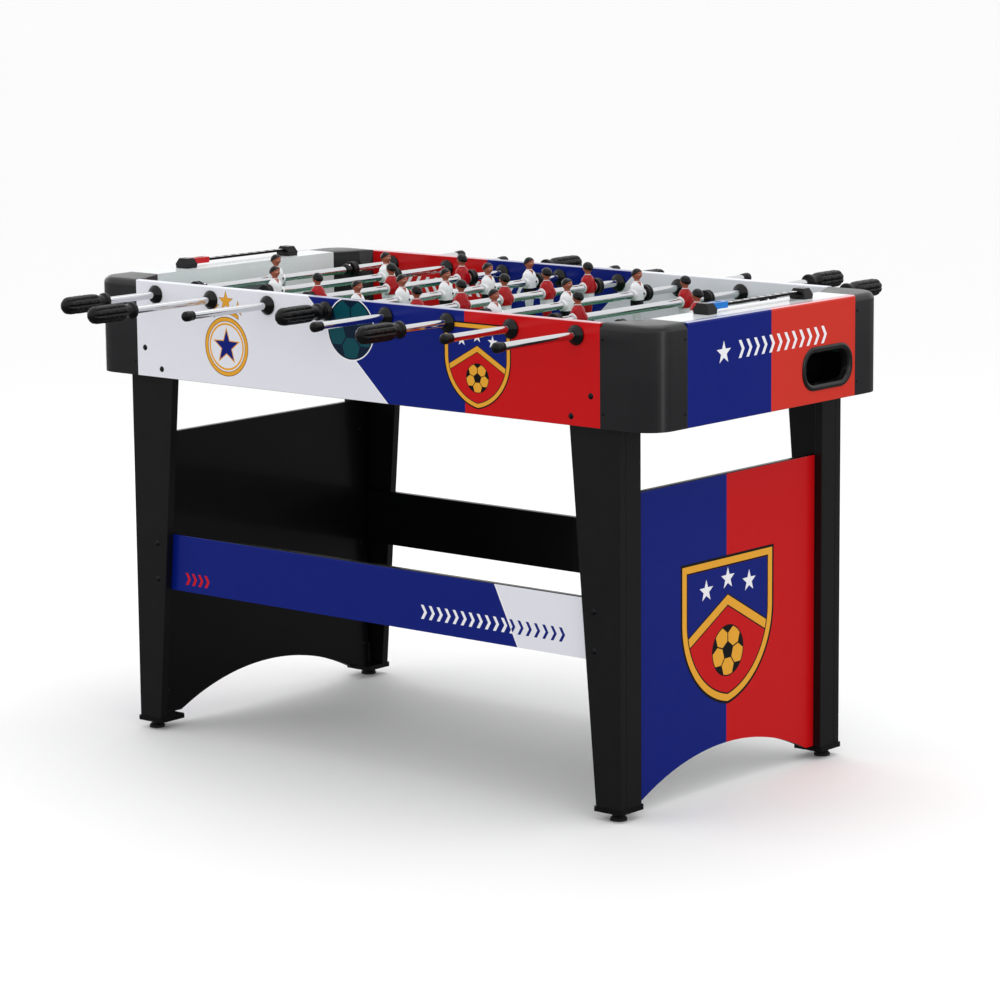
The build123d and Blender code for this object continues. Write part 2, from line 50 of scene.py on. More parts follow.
MM = 0.001
BOX_BOTTOM = 621.6 * MM
NO_RAW_EDGE = -1.0
Array = np.ndarray
Colour = tuple[float, float, float]
log = logging.getLogger("football_table")


def tint(red: int, green: int, blue: int) -> Colour:
    """Linear colour of a display colour: each channel over 255, raised by the display curve."""
    return tuple(c / 12.92 if c <= 0.04045 else ((c + 0.055) / 1.055) ** 2.4
                 for c in (red / 255, green / 255, blue / 255))


# ---------------------------------------------------------------- shader arithmetic
class Value:
    """A number socket of a material; sums written with it add Math nodes."""

    def __init__(self, graph: "Graph", socket: bpy.types.NodeSocket) -> None:
        """Keeps the socket and the graph that it belongs to."""
        self.graph = graph
        self.socket = socket

    def __add__(self, other: "Value | float") -> "Value":
        """This plus other."""
        return self.graph.math("ADD", self, other)

    __radd__ = __add__

    def __sub__(self, other: "Value | float") -> "Value":
        """This minus other."""
        return self.graph.math("SUBTRACT", self, other)

    def __rsub__(self, other: float) -> "Value":
        """Other minus this."""
        return self.graph.math("SUBTRACT", other, self)

    def __mul__(self, other: "Value | float") -> "Value":
        """This times other."""
        return self.graph.math("MULTIPLY", self, other)

    __rmul__ = __mul__

    def __truediv__(self, other: "Value | float") -> "Value":
        """This over other."""
        return self.graph.math("DIVIDE", self, other)

    def __abs__(self) -> "Value":
        """Its size without its sign."""
        return self.graph.math("ABSOLUTE", self)

    def at_least(self, other: "Value | float") -> "Value":
        """The larger of this and other."""
        return self.graph.math("MAXIMUM", self, other)

    def at_most(self, other: "Value | float") -> "Value":
        """The smaller of this and other."""
        return self.graph.math("MINIMUM", self, other)

    def folded(self, period: float) -> "Value":
        """Distance from the nearest multiple of period."""
        return abs(self.graph.math("WRAP", self, period / 2, -period / 2))

    def inside(self, blur: float = 0.35 * MM) -> "Value":
        """1 where this distance is below 0, 0 above it, with an edge as wide as blur."""
        return self.graph.math("SUBTRACT", 0.5, self / blur, clamp=True)


class Graph:
    """One material's node tree, built from expressions."""

    def __init__(self, name: str) -> None:
        """Starts an empty node material.

        Args:
            name: the finish's name.
        """
        self.material = bpy.data.materials.new(name)
        self.material.use_nodes = True
        self.tree = self.material.node_tree
        self.tree.nodes.clear()

    def node(self, kind: str, settings: dict | None = None, inputs: dict | None = None) -> bpy.types.Node:
        """Adds a node: its settings first, then the values or links of its sockets.

        Args:
            kind: the node's type.
            settings: attribute names and values.
            inputs: socket names or numbers, each with a value, a Value or a socket.

        Returns:
            The new node.
        """
        made = self.tree.nodes.new(kind)
        for key, value in (settings or {}).items():
            setattr(made, key, value)
        for key, value in (inputs or {}).items():
            socket = made.inputs[key]
            if isinstance(value, Value):
                value = value.socket
            if isinstance(value, bpy.types.NodeSocket):
                self.tree.links.new(value, socket)
            elif isinstance(value, tuple) and socket.type == "RGBA":
                socket.default_value = (*value[:3], 1.0)
            else:
                socket.default_value = value
        return made

    def math(self, operation: str, *terms: "Value | float", clamp: bool = False) -> Value:
        """One Math node on numbers or Values.

        Args:
            operation: the Math node's operation.
            terms: what it works on, in order.
            clamp: whether the result is kept from 0 to 1.

        Returns:
            Its result.
        """
        settings = {"operation": operation, "use_clamp": clamp}
        return Value(self, self.node("ShaderNodeMath", settings, dict(enumerate(terms))).outputs[0])

    def place(self) -> tuple[Value, Value, Value]:
        """X, Y and Z of the surface point in the table's own frame, in metres."""
        return self.split(self.node("ShaderNodeTexCoord").outputs["Object"])

    def painted(self, attribute: str) -> tuple[Value, Value, Value]:
        """X, Y and Z of a vector attribute that the piece carries."""
        got = self.node("ShaderNodeAttribute", {"attribute_name": attribute})
        return self.split(got.outputs["Vector"])

    def split(self, socket: bpy.types.NodeSocket) -> tuple[Value, Value, Value]:
        """The three parts of a vector socket."""
        parts = self.node("ShaderNodeSeparateXYZ", None, {0: socket})
        return tuple(Value(self, out) for out in parts.outputs[:3])

    def mix(self, mask: Value | float, low: object, high: object) -> bpy.types.NodeSocket:
        """Colour that goes from low to high with mask."""
        made = self.node("ShaderNodeMix", {"data_type": "RGBA"}, {0: mask, 6: low, 7: high})
        return made.outputs[2]

    def noise(self, size: float, detail: float = 2.0, stretch: tuple[float, float, float] = (1, 1, 1)) -> Value:
        """Cloudy noise from 0 to 1.

        Args:
            size: the width of its blobs, in metres.
            detail: how many finer layers it has.
            stretch: how much longer the blobs are along each axis.

        Returns:
            The noise's value.
        """
        place = self.node("ShaderNodeTexCoord").outputs["Object"]
        scale = tuple(1 / s for s in stretch)
        mapped = self.node("ShaderNodeMapping", None, {"Vector": place, "Scale": scale}).outputs[0]
        made = self.node("ShaderNodeTexNoise", None, {"Vector": mapped, "Scale": 1 / size, "Detail": detail})
        return Value(self, made.outputs[0])

    def bump(self, height: Value, distance: float, strength: float = 1.0) -> bpy.types.NodeSocket:
        """Normal of a surface raised by height times distance."""
        inputs = {"Height": height, "Distance": distance, "Strength": strength}
        return self.node("ShaderNodeBump", None, inputs).outputs[0]

    def finish(self, **sockets: object) -> bpy.types.Material:
        """Joins the sockets' values or links to one Principled shader.

        Args:
            sockets: socket names in small letters with _ for spaces, and what each gets.

        Returns:
            The finished material.
        """
        named = {key.replace("_", " ").title().replace("Ior", "IOR"): value for key, value in sockets.items()}
        shader = self.node("ShaderNodeBsdfPrincipled", None, named)
        self.node("ShaderNodeOutputMaterial", None, {0: shader.outputs[0]})
        return self.material


# ---------------------------------------------------------------- printed artwork
class Ink:
    """The colours that the boards are printed in."""

    WHITE = tint(238, 239, 247)
    LINE = tint(250, 250, 254)
    BLUE = tint(4, 27, 122)
    RED = tint(204, 12, 16)
    WARM_RED = tint(212, 52, 38)
    GOLD = tint(240, 172, 52)
    GOLD_LINE = tint(120, 78, 20)
    BLACK = tint(9, 9, 11)
    TEAL = tint(8, 74, 84)
    DARK_TEAL = tint(6, 30, 52)
    BOARD_EDGE = tint(70, 52, 42)


@dataclass
class Canvas:
    """A picture on two coordinates, painted layer over layer."""

    graph: Graph
    u: Value
    v: Value
    colour: object
    blur: float = 0.35 * MM

    def paint(self, distance: Value, ink: object) -> None:
        """Lays ink where distance is below 0."""
        self.colour = self.graph.mix(distance.inside(self.blur), self.colour, ink)

    def centred(self, u: float, v: float, unit: float) -> "Canvas":
        """The same picture measured from a point, in a unit of its own.

        Args:
            u: the point's first coordinate.
            v: the point's second coordinate.
            unit: the new unit, in metres.

        Returns:
            A canvas on the colours so far.
        """
        return Canvas(self.graph, (self.u - u) / unit, (self.v - v) / unit, self.colour, self.blur / unit)

    def radius(self) -> Value:
        """Distance from the canvas's centre: the root of u squared plus v squared."""
        return self.graph.math("SQRT", self.u * self.u + self.v * self.v)

    def spokes(self, count: int, turn: float = 0.0) -> tuple[Value, Value]:
        """Folds the plane into equal sectors about spokes, the first one pointing up.

        Args:
            count: how many spokes.
            turn: how far they are turned, in radians.

        Returns:
            The distance along the nearest spoke, and the distance from it.
        """
        angle = self.graph.math("ARCTAN2", self.u, self.v) + turn
        angle = angle.folded(2 * math.pi / count)
        radius = self.radius()
        return radius * self.graph.math("COSINE", angle), radius * self.graph.math("SINE", angle)

    def star(self, size: float) -> Value:
        """Distance to a five-pointed star's edge: a straight line from each tip to the notch beside it."""
        along, beside = self.spokes(5)
        notch = (0.40 * size * math.cos(math.pi / 5), 0.40 * size * math.sin(math.pi / 5))
        slope = (notch[1], size - notch[0])
        length = math.hypot(*slope)
        return (along - size) * (slope[0] / length) + beside * (slope[1] / length)

    def row(self, start: float, stop: float, low: float, high: float, pitch: float, stroke: float) -> Value:
        """Distance to a row of arrowheads: strokes that lean both ways from the row's middle line.

        Only whole arrowheads are drawn: both ends are moved to the gap before the next stroke.

        Args:
            start: the row's first u.
            stop: its last u.
            low: its lowest v.
            high: its highest v.
            pitch: from one arrowhead to the next.
            stroke: each stroke's width.

        Returns:
            The distance, below 0 in a stroke.
        """
        off = abs(self.v - (low + high) / 2)
        leaning = self.u + off * 0.6
        across = leaning.folded(pitch) - stroke / 2
        first, last = ((math.floor(u / pitch) + 0.5) * pitch for u in (start, stop))
        ends = abs(leaning - (first + last) / 2) - (last - first) / 2
        return across.at_least(off - (high - low) / 2).at_least(ends)


def ball_emblem(canvas: Canvas, cover: Colour, patch: Colour) -> None:
    """Paints a football of radius 1: one five-sided patch, five seams, and five patches cut by the rim.

    Args:
        canvas: where it goes, centred on the ball.
        cover: the ball's own colour.
        patch: the colour of its patches and seams.
    """
    canvas.paint(canvas.radius() - 1.0, patch)
    canvas.paint(canvas.radius() - 0.95, cover)
    side, _ = canvas.spokes(5, math.pi / 5)
    canvas.paint(side - 0.30, patch)
    along, beside = canvas.spokes(5)
    seam = (beside - 0.028).at_least(0.3 - along)
    rim = (canvas.radius() - 0.97).at_least(0.66 - along + beside * 0.73)
    canvas.paint(seam.at_least(canvas.radius() - 0.95), patch)
    canvas.paint(rim, patch)


def shield_emblem(canvas: Canvas) -> None:
    """Paints a plain heater shield whose half width is 1: straight top, sides that are arcs about the far side.

    Args:
        canvas: where it goes, centred on the shield.
    """
    below = (canvas.v - 0.15).at_most(0.0)
    reach = abs(canvas.u) + 0.208
    side = canvas.graph.math("SQRT", reach * reach + below * below) - 1.208
    edge = side.at_least(canvas.v - 0.93)
    canvas.paint(edge, Ink.BLACK)
    canvas.paint(edge + 0.035, Ink.GOLD)
    canvas.paint(edge + 0.125, Ink.BLACK)
    inner = edge + 0.145
    bend = canvas.v - 0.34 + abs(canvas.u) * 0.55
    canvas.paint(inner, Ink.RED)
    canvas.paint(inner.at_least(0.0 - bend), Ink.BLUE)
    canvas.paint(inner.at_least(abs(bend) - 0.085), Ink.BLACK)
    canvas.paint(inner.at_least(abs(bend) - 0.065), Ink.GOLD)
    for u, v, size in ((-0.46, 0.52, 0.15), (0.0, 0.62, 0.15), (0.46, 0.52, 0.15)):
        small = canvas.centred(u, v, 1.0)
        small.paint(small.star(size), Ink.LINE)
        canvas.colour = small.colour
    ball = canvas.centred(0.0, -0.33, 0.34)
    ball_emblem(ball, Ink.GOLD, Ink.BLACK)
    canvas.colour = ball.colour


def ring_emblem(canvas: Canvas) -> None:
    """Paints a gold ring of radius 1 round a blue star, with three small stars over it.

    Args:
        canvas: where it goes, centred on the ring.
    """
    radius = canvas.radius()
    canvas.paint(radius - 1.0, Ink.GOLD_LINE)
    canvas.paint(radius - 0.975, Ink.GOLD)
    canvas.paint(radius - 0.86, Ink.GOLD_LINE)
    canvas.paint(radius - 0.84, Ink.WHITE)
    canvas.paint(abs(radius - 0.76) - 0.035, Ink.GOLD)
    canvas.paint(canvas.star(0.66), Ink.GOLD)
    canvas.paint(canvas.star(0.56), Ink.BLUE)
    arc = (abs(radius - 1.16) - 0.05).at_least(abs(canvas.u) - 0.56).at_least(0.0 - canvas.v)
    canvas.paint(arc - 0.02, Ink.GOLD_LINE)
    canvas.paint(arc, Ink.GOLD)
    for u, v, size in ((-0.56, 1.30, 0.24), (0.0, 1.52, 0.32), (0.56, 1.30, 0.24)):
        small = canvas.centred(u, v, 1.0)
        small.paint(small.star(size + 0.04), Ink.GOLD_LINE)
        small.paint(small.star(size), Ink.GOLD)
        canvas.colour = small.colour


@dataclass(frozen=True)
class PrintedBoard:
    """Laminated board with a printed film: its gloss, orange peel, a painted highlight along its upper edge and
    top face, and raw lower edge.
    """

    roughness: float = 0.22
    coat: float = 0.14
    upper_edge: float = 785.0 * MM
    raw_strip: float = 0.4 * MM
    # Painted highlight: a pale line at the upper arris and a pale top face stand in for light reflected at a
    # grazing angle.
    upper_highlight_half: float = 0.7 * MM
    upper_highlight_strength: float = 0.5
    top_reflection_strength: float = 0.28
    cloud_strength: float = 0.012
    cloud: Colour = tint(110, 112, 140)
    # Colour of the painted reflection on the top face.
    top_reflection_tone: Colour = tint(200, 205, 235)

    def dress(self, graph: Graph, picture: object, lower_edge: float) -> bpy.types.Material:
        """Finishes a picture as a glossy printed film on board, with a painted highlight along its upper edge.

        Args:
            graph: the material so far.
            picture: the picture's colour socket.
            lower_edge: height of the board's raw lower edge.

        Returns:
            The material.
        """
        height = graph.place()[2]
        colour = graph.mix((height - lower_edge - self.raw_strip).inside(0.3 * MM), picture, Ink.BOARD_EDGE)
        colour = graph.mix(graph.noise(0.09, 3.0) * self.cloud_strength, colour, self.cloud)
        # Painted highlight: the top face and a thin line along the upper arris are painted paler, in place of
        # the sky's reflection on the rounded top edge.
        top_reflection_mask = (self.upper_edge - 0.3 * MM - height).inside(0.2 * MM)
        upper_highlight_mask = (abs(height - self.upper_edge + self.upper_highlight_half) - self.upper_highlight_half).inside(0.5 * MM)
        colour = graph.mix(upper_highlight_mask * self.upper_highlight_strength, colour, Ink.LINE)
        colour = graph.mix(top_reflection_mask * self.top_reflection_strength, colour, self.top_reflection_tone)
        peel = graph.noise(0.0042, 1.5) * 0.6 + graph.noise(0.0011, 1.0, (1, 1, 2.4)) * 0.4
        rough = graph.noise(0.03, 4.0) * 0.08 + (self.roughness - 0.04)
        return graph.finish(base_color=colour, roughness=rough, coat_weight=self.coat, coat_roughness=0.05,
                            specular_ior_level=0.17, normal=graph.bump(peel, 0.00007, 0.4))


@dataclass(frozen=True)
class SidePrint:
    """Artwork of a long side: white, blue and red fields with three emblems.

    An emblem's place is its centre and its unit; a row's is its ends and its lowest and highest point.
    """

    slant_at: tuple[float, float] = (-107 * MM, 785 * MM)
    slant_run: float = 1.067
    red_from: float = 232 * MM
    ring_place: tuple[float, float, float] = (-292.5 * MM, 686.6 * MM, 50 * MM)
    shield_place: tuple[float, float, float] = (258 * MM, 702 * MM, 69.5 * MM)
    ball_place: tuple[float, float, float] = (-11 * MM, 737 * MM, 50 * MM)
    inner_row: tuple[float, float, float, float] = (126 * MM, 428 * MM, 716 * MM, 744 * MM)
    pitch: float = 20 * MM
    stroke: float = 7.5 * MM
    outer_from: float = 304.6 * MM

    def make(self, side: int) -> bpy.types.Material:
        """The long side's material; the back repeats the front, turned half a turn.

        Args:
            side: -1 for the front, 1 for the back.

        Returns:
            The material.
        """
        graph = Graph(f"side_print_{Side(side).name.lower()}")
        x, y, z = graph.place()
        canvas = Canvas(graph, x * float(-side), z, Ink.WHITE)
        slant = canvas.u - self.slant_at[0] + (z - self.slant_at[1]) * self.slant_run
        canvas.paint(0.0 - slant, Ink.BLUE)
        canvas.paint(abs(slant) - 1.6 * MM, Ink.LINE)
        canvas.paint(self.red_from - canvas.u, Ink.RED)
        plain = canvas.colour
        for place, emblem in ((self.ring_place, ring_emblem), (self.shield_place, shield_emblem)):
            spot = canvas.centred(*place)
            emblem(spot)
            canvas.colour = spot.colour
        spot = canvas.centred(*self.ball_place)
        spot.paint(spot.radius() - 1.04, Ink.LINE)
        ball_emblem(spot, Ink.TEAL, Ink.DARK_TEAL)
        outer = (y * float(-side) + self.outer_from).inside(0.1 * MM)
        inner = Canvas(graph, canvas.u, z, plain)
        inner.paint(inner.row(*self.inner_row, self.pitch, self.stroke), Ink.LINE)
        return PrintedBoard().dress(graph, graph.mix(outer, inner.colour, spot.colour), BOX_BOTTOM)


@dataclass(frozen=True)
class EndPrint:
    """Artwork of an end: blue and red with a row of arrowheads, or white with a blue sash."""

    split: float = -6 * MM
    sash_at: float = -172 * MM
    sash_lean: float = 0.6
    sash_half: float = 34 * MM
    row: tuple[float, float, float, float] = (-84 * MM, 150 * MM, 716 * MM, 744 * MM)
    pitch: float = 20 * MM
    stroke: float = 7 * MM
    star_at: tuple[float, float] = (-130 * MM, 728.5 * MM)
    star_size: float = 19 * MM
    outer_from: float = 606 * MM

    def make(self, end: int) -> bpy.types.Material:
        """The end's material.

        Args:
            end: -1 for the left end, 1 for the right.

        Returns:
            The material.
        """
        graph = Graph(f"end_print_{End(end).name.lower()}")
        x, y, z = graph.place()
        canvas = Canvas(graph, y * float(end), z, Ink.BLUE if end > 0 else Ink.WHITE)
        if end > 0:
            canvas.paint(self.split - canvas.u, Ink.WARM_RED)
            row_ink = Ink.LINE
        else:
            sash = canvas.u + (z - 700 * MM) * self.sash_lean - self.sash_at
            canvas.paint(abs(sash) - self.sash_half, Ink.BLUE)
            row_ink = Ink.BLUE
        outer = (self.outer_from - x * float(end)).inside(0.1 * MM)
        ground = canvas.colour
        canvas.paint(canvas.row(*self.row, self.pitch, self.stroke), row_ink)
        spot = canvas.centred(*self.star_at, 1.0)
        spot.paint(spot.star(self.star_size), row_ink)
        return PrintedBoard().dress(graph, graph.mix(outer, ground, spot.colour), BOX_BOTTOM)


@dataclass(frozen=True)
class SupportPrint:
    """Artwork of a lower end board: two halves and one large emblem outside, black inside."""

    emblem_at: tuple[float, float] = (3.5 * MM, 266 * MM)
    half_width: float = 124 * MM
    roughness: float = 0.3

    def make(self, end: int, outer_face: float) -> bpy.types.Material:
        """The board's material.

        Args:
            end: -1 for the left end, 1 for the right.
            outer_face: how far the printed face stands from the table's middle.

        Returns:
            The material.
        """
        graph = Graph(f"support_print_{End(end).name.lower()}")
        x, y, z = graph.place()
        canvas = Canvas(graph, y * float(end), z, Ink.BLUE if end > 0 else Ink.WHITE)
        canvas.paint(0.0 - canvas.u, Ink.RED if end > 0 else Ink.BLUE)
        spot = canvas.centred(*self.emblem_at, self.half_width)
        emblem = shield_emblem if end > 0 else ring_emblem
        emblem(spot)
        outer = (outer_face - 0.3 * MM - x * float(end)).inside(0.1 * MM)
        board = PrintedBoard(self.roughness)
        return board.dress(graph, graph.mix(outer, Ink.BLACK, spot.colour), NO_RAW_EDGE)


@dataclass(frozen=True)
class StretcherPrint:
    """Artwork of a long rail: blue and white fields with rows of arrowheads outside, black inside."""

    slant_at: tuple[float, float] = (266 * MM, 348 * MM)
    slant_run: float = 0.49
    long_row: tuple[float, float, float, float] = (103 * MM, 425 * MM, 271 * MM, 294 * MM)
    short_row: tuple[float, float, float, float] = (-434 * MM, -371 * MM, 262 * MM, 283 * MM)
    long_pitch: float = 17 * MM
    short_pitch: float = 15 * MM
    stroke: float = 6 * MM
    printed_below: float = 347.2 * MM
    roughness: float = 0.3

    def make(self, side: int, outer_face: float) -> bpy.types.Material:
        """The rail's material; the back repeats the front, turned half a turn.

        Args:
            side: -1 for the front, 1 for the back.
            outer_face: how far the printed face stands from the table's middle.

        Returns:
            The material.
        """
        graph = Graph(f"stretcher_print_{Side(side).name.lower()}")
        x, y, z = graph.place()
        canvas = Canvas(graph, x * float(-side), z, Ink.BLUE)
        slant = canvas.u - self.slant_at[0] + (z - self.slant_at[1]) * self.slant_run
        row = canvas.row(*self.long_row, self.long_pitch, self.stroke)
        canvas.paint(0.0 - slant, Ink.WHITE)
        canvas.paint(abs(slant) - 1.2 * MM, Ink.LINE)
        canvas.paint(row.at_least(slant), Ink.LINE)
        canvas.paint(row.at_least(0.0 - slant), Ink.BLUE)
        canvas.paint(canvas.row(*self.short_row, self.short_pitch, self.stroke), Ink.RED)
        outer = (y * float(-side) + outer_face - 0.3 * MM).inside(0.1 * MM)
        top = (self.printed_below - z).inside(0.2 * MM)
        colour = graph.mix(top, graph.mix(outer, Ink.BLACK, canvas.colour), Ink.BLACK)
        return PrintedBoard(self.roughness).dress(graph, colour, NO_RAW_EDGE)


class Side(Enum):
    """The long sides, as a sign along Y."""

    FRONT = -1
    BACK = 1


class End(Enum):
    """The short ends, as a sign along X."""

    LEFT = -1
    RIGHT = 1


# ---------------------------------------------------------------- plain finishes
@dataclass(frozen=True)
class Moulded:
    """Moulded or sheet plastic, rubber or laminate: a colour, its gloss and its fine grain."""

    name: str
    colour: Colour
    roughness: float
    grain: float = 0.0009
    depth: float = 0.00004
    coat: float = 0.0
    mottle: float = 0.25
    stretch: tuple[float, float, float] = (1, 1, 1)
    specular: float = 0.24

    def make(self) -> bpy.types.Material:
        """The material: mottled colour, uneven gloss and a pebbled or streaked grain."""
        graph = Graph(self.name)
        cloud = graph.noise(0.05, 4.0)
        paler = tuple(min(1.0, c * (1 + self.mottle) + 0.004 * self.mottle) for c in self.colour)
        colour = graph.mix(cloud, self.colour, paler)
        rough = graph.noise(0.02, 3.0) * 0.12 + (self.roughness - 0.06)
        fine = graph.noise(self.grain, 2.0, self.stretch)
        return graph.finish(base_color=colour, roughness=rough, coat_weight=self.coat, coat_roughness=0.08,
                            specular_ior_level=self.specular, normal=graph.bump(fine, self.depth, 0.5))


@dataclass(frozen=True)
class BareMetal:
    """Plated or oxidised steel with fine turning marks across the rods."""

    name: str
    colour: Colour
    roughness: float

    def make(self) -> bpy.types.Material:
        """The material: metal whose gloss changes a little along its length."""
        graph = Graph(self.name)
        marks = graph.noise(0.0007, 2.0, (8, 1, 8))
        smudge = graph.noise(0.06, 3.0)
        colour = graph.mix(smudge * 0.35, self.colour, tuple(c * 0.82 for c in self.colour))
        rough = marks * 0.03 + smudge * 0.05 + (self.roughness - 0.03)
        return graph.finish(base_color=colour, metallic=1.0, roughness=rough,
                            normal=graph.bump(marks, 0.000006, 0.4))


@dataclass(frozen=True)
class FieldPrint:
    """The playing surface: green with white markings."""

    half_length: float
    half_width: float
    line: float = 1.6 * MM

    def make(self) -> bpy.types.Material:
        """The material: boxes, circles and lines as bands of equal distance."""
        graph = Graph("field_print")
        x, y, z = graph.place()
        canvas = Canvas(graph, x, y, tint(10, 92, 62))
        mown = (x.folded(0.2) - 0.05).inside(1.0 * MM)
        canvas.colour = graph.mix(mown * 0.35, canvas.colour, tint(16, 112, 74))
        ends = abs(abs(x) - (self.half_length - 24 * MM))
        sides = abs(abs(y) - (self.half_width - 16 * MM))
        in_length = abs(x) - (self.half_length - 22 * MM)
        in_width = abs(y) - (self.half_width - 14 * MM)
        canvas.paint((ends - self.line).at_least(in_width), Ink.LINE)
        canvas.paint((sides - self.line).at_least(in_length), Ink.LINE)
        canvas.paint((abs(x) - self.line).at_least(in_width), Ink.LINE)
        canvas.paint(abs(canvas.radius() - 78 * MM) - self.line, Ink.LINE)
        canvas.paint(canvas.radius() - 6 * MM, Ink.LINE)
        for depth, half in ((150 * MM, 150 * MM), (70 * MM, 105 * MM)):
            box = (abs(x) * -1.0 + (self.half_length - 24 * MM - depth)).at_least(abs(y) - half)
            canvas.paint((abs(box) - self.line).at_least(in_length), Ink.LINE)
        fine = graph.noise(0.002, 2.0)
        return graph.finish(base_color=canvas.colour, roughness=graph.noise(0.03, 3.0) * 0.1 + 0.2,
                            coat_weight=0.3, coat_roughness=0.08, normal=graph.bump(fine, 0.00003, 0.3))


class Team(Enum):
    """The two sides' colours: jersey, trim, shorts and socks."""

    WHITE = (tint(242, 243, 246), tint(242, 243, 246), tint(10, 10, 13), tint(228, 231, 235))
    RED = (tint(172, 2, 12), tint(236, 237, 240), tint(230, 232, 236), tint(168, 4, 14))


@dataclass(frozen=True)
class PlayerPaint:
    """Gloss paint of a player's kit and head, laid out on the player's own measures in millimetres."""

    eye_height: float = 33.6
    eye_spacing: float = 3.0
    brow_height: float = 35.7
    lip_height: float = 27.4
    skin: Colour = tint(176, 98, 76)
    hair: Colour = tint(3, 3, 4)

    def kit(self, team: Team) -> bpy.types.Material:
        """Jersey with an open collar, shorts, socks and boots.

        Args:
            team: whose colours.

        Returns:
            The material.
        """
        jersey, trim, shorts, socks = team.value
        graph = Graph(f"kit_{team.name.lower()}")
        x, y, z = graph.painted("own_place")
        canvas = Canvas(graph, y, z, tint(20, 20, 22), 0.35)
        canvas.paint(-52.5 - z, socks)
        canvas.paint((abs(z + 26.0) - 0.9), trim)
        canvas.paint(-22.2 - z, shorts)
        canvas.paint(-9.6 - z, jersey)
        canvas.paint((13.7 - abs(y)).at_least(-9.6 - z).at_least(z - 9.6), trim)
        notch = abs(y) - (z - 13.6) * 0.62
        canvas.paint((abs(notch) - 0.55).at_least(0.0 - x).at_least(13.0 - z), trim)
        canvas.paint(notch.at_least(0.0 - x), self.skin)
        canvas.paint(21.6 - z, trim)
        canvas.paint(22.6 - z, self.skin)
        fold = graph.noise(0.004, 2.0, (1, 1, 1.6))
        colour = graph.mix(graph.noise(0.012, 2.0) * 0.04, canvas.colour, tint(90, 90, 96))
        return graph.finish(base_color=colour, roughness=fold * 0.1 + 0.16, coat_weight=0.1,
                            coat_roughness=0.05, specular_ior_level=0.2, normal=graph.bump(fold, 0.00016, 0.5))

    def head(self) -> bpy.types.Material:
        """Skin, hair, brows, eyes and lips of a plain painted face."""
        graph = Graph("painted_head")
        x, y, z = graph.painted("own_place")
        hair = graph.painted("hair_cover")[0]
        blush = graph.noise(0.003, 2.0)
        canvas = Canvas(graph, y, z, graph.mix(blush * 0.3, self.skin, tint(150, 78, 62)), 0.25)
        front = 3.0 - x
        across, above = abs(y) - self.eye_spacing, z - self.eye_height
        white = graph.math("SQRT", across * across + above * above * 3.2) - 1.35
        iris = graph.math("SQRT", across * across + above * above) - 0.65
        brow = (abs(z - self.brow_height + abs(across) * 0.18) - 0.38).at_least(abs(across) - 1.9)
        lips = (abs(z - self.lip_height) - 0.42).at_least(abs(y) - 2.1)
        canvas.paint(white.at_least(front), tint(225, 222, 216))
        canvas.paint(iris.at_least(front), tint(24, 16, 12))
        canvas.paint(brow.at_least(front), self.hair)
        canvas.paint(lips.at_least(front), tint(140, 62, 54))
        canvas.paint((0.5 - hair) * 2.0, self.hair)
        strands = graph.noise(0.0012, 3.0, (1, 1, 3)) * hair
        return graph.finish(base_color=canvas.colour, roughness=0.34 - hair * 0.12, coat_weight=0.08,
                            coat_roughness=0.08, specular_ior_level=0.22,
                            normal=graph.bump(strands, 0.0002, 0.6))


# ---------------------------------------------------------------- surfaces on grids
@dataclass
class Skin:
    """A closed surface: its points, its faces as point numbers, and values painted on its points."""

    points: Array
    faces: list
    finish: int = 0
    hair: Array | None = None

    def placed(self, turn: Array, shift: Array) -> "Skin":
        """The same skin turned by a matrix, then shifted."""
        return Skin(self.points @ turn.T + shift, self.faces, self.finish, self.hair)


def faced_outwards(points: Array, quads: Array, fans: Array) -> list:
    """Turns a closed surface's faces outwards: its signed volume, the sum of p . (q x r) / 6, is positive.

    Args:
        points: the surface's points.
        quads: its four-sided faces.
        fans: its three-sided faces, possibly none.

    Returns:
        The faces as lists of point numbers.
    """
    parts = [quads[:, [0, 1, 2]], quads[:, [0, 2, 3]]] + ([fans] if len(fans) else [])
    p, q, r = (points[np.concatenate(parts)[:, k]] for k in range(3))
    if np.sum(p * np.cross(q, r)) < 0:
        quads, fans = quads[:, ::-1], fans[:, ::-1]
    return quads.tolist() + fans.tolist()


def closed_rings(rings: Array, finish: int = 0, hair: Array | None = None, loop: bool = False) -> Skin:
    """Joins rings of points into a closed skin that faces outwards.

    Face (i, j) has the corners j and j + 1 of ring i and of ring i + 1, and the last corner of a ring is
    followed by its first. Either the last ring is followed by the first one, or both ends get a fan.

    Args:
        rings: points, as rings by corners by 3.
        finish: number of the material.
        hair: hair cover of each point, as rings by corners.
        loop: whether the rings run round to the first one again.

    Returns:
        The closed skin.
    """
    count, around, _ = rings.shape
    i, j = np.meshgrid(np.arange(count if loop else count - 1), np.arange(around), indexing="ij")
    k, n = (j + 1) % around, (i + 1) % count
    quads = np.stack([i * around + j, i * around + k, n * around + k, n * around + j], -1).reshape(-1, 4)
    points, fans, cover = rings.reshape(-1, 3), np.zeros((0, 3), int), None
    if not loop:
        points = np.concatenate([points, [rings[0].mean(0), rings[-1].mean(0)]])
        j = np.arange(around)
        k = (j + 1) % around
        last, first = np.full(around, count * around + 1), np.full(around, count * around)
        fans = np.concatenate([np.stack([first, k, j], -1),
                               np.stack([last, (count - 1) * around + j, (count - 1) * around + k], -1)])
    if hair is not None:
        cover = np.concatenate([hair.ravel(), [hair[0].mean(), hair[-1].mean()]])
    return Skin(points, faced_outwards(points - points.mean(0), quads, fans), finish, cover)


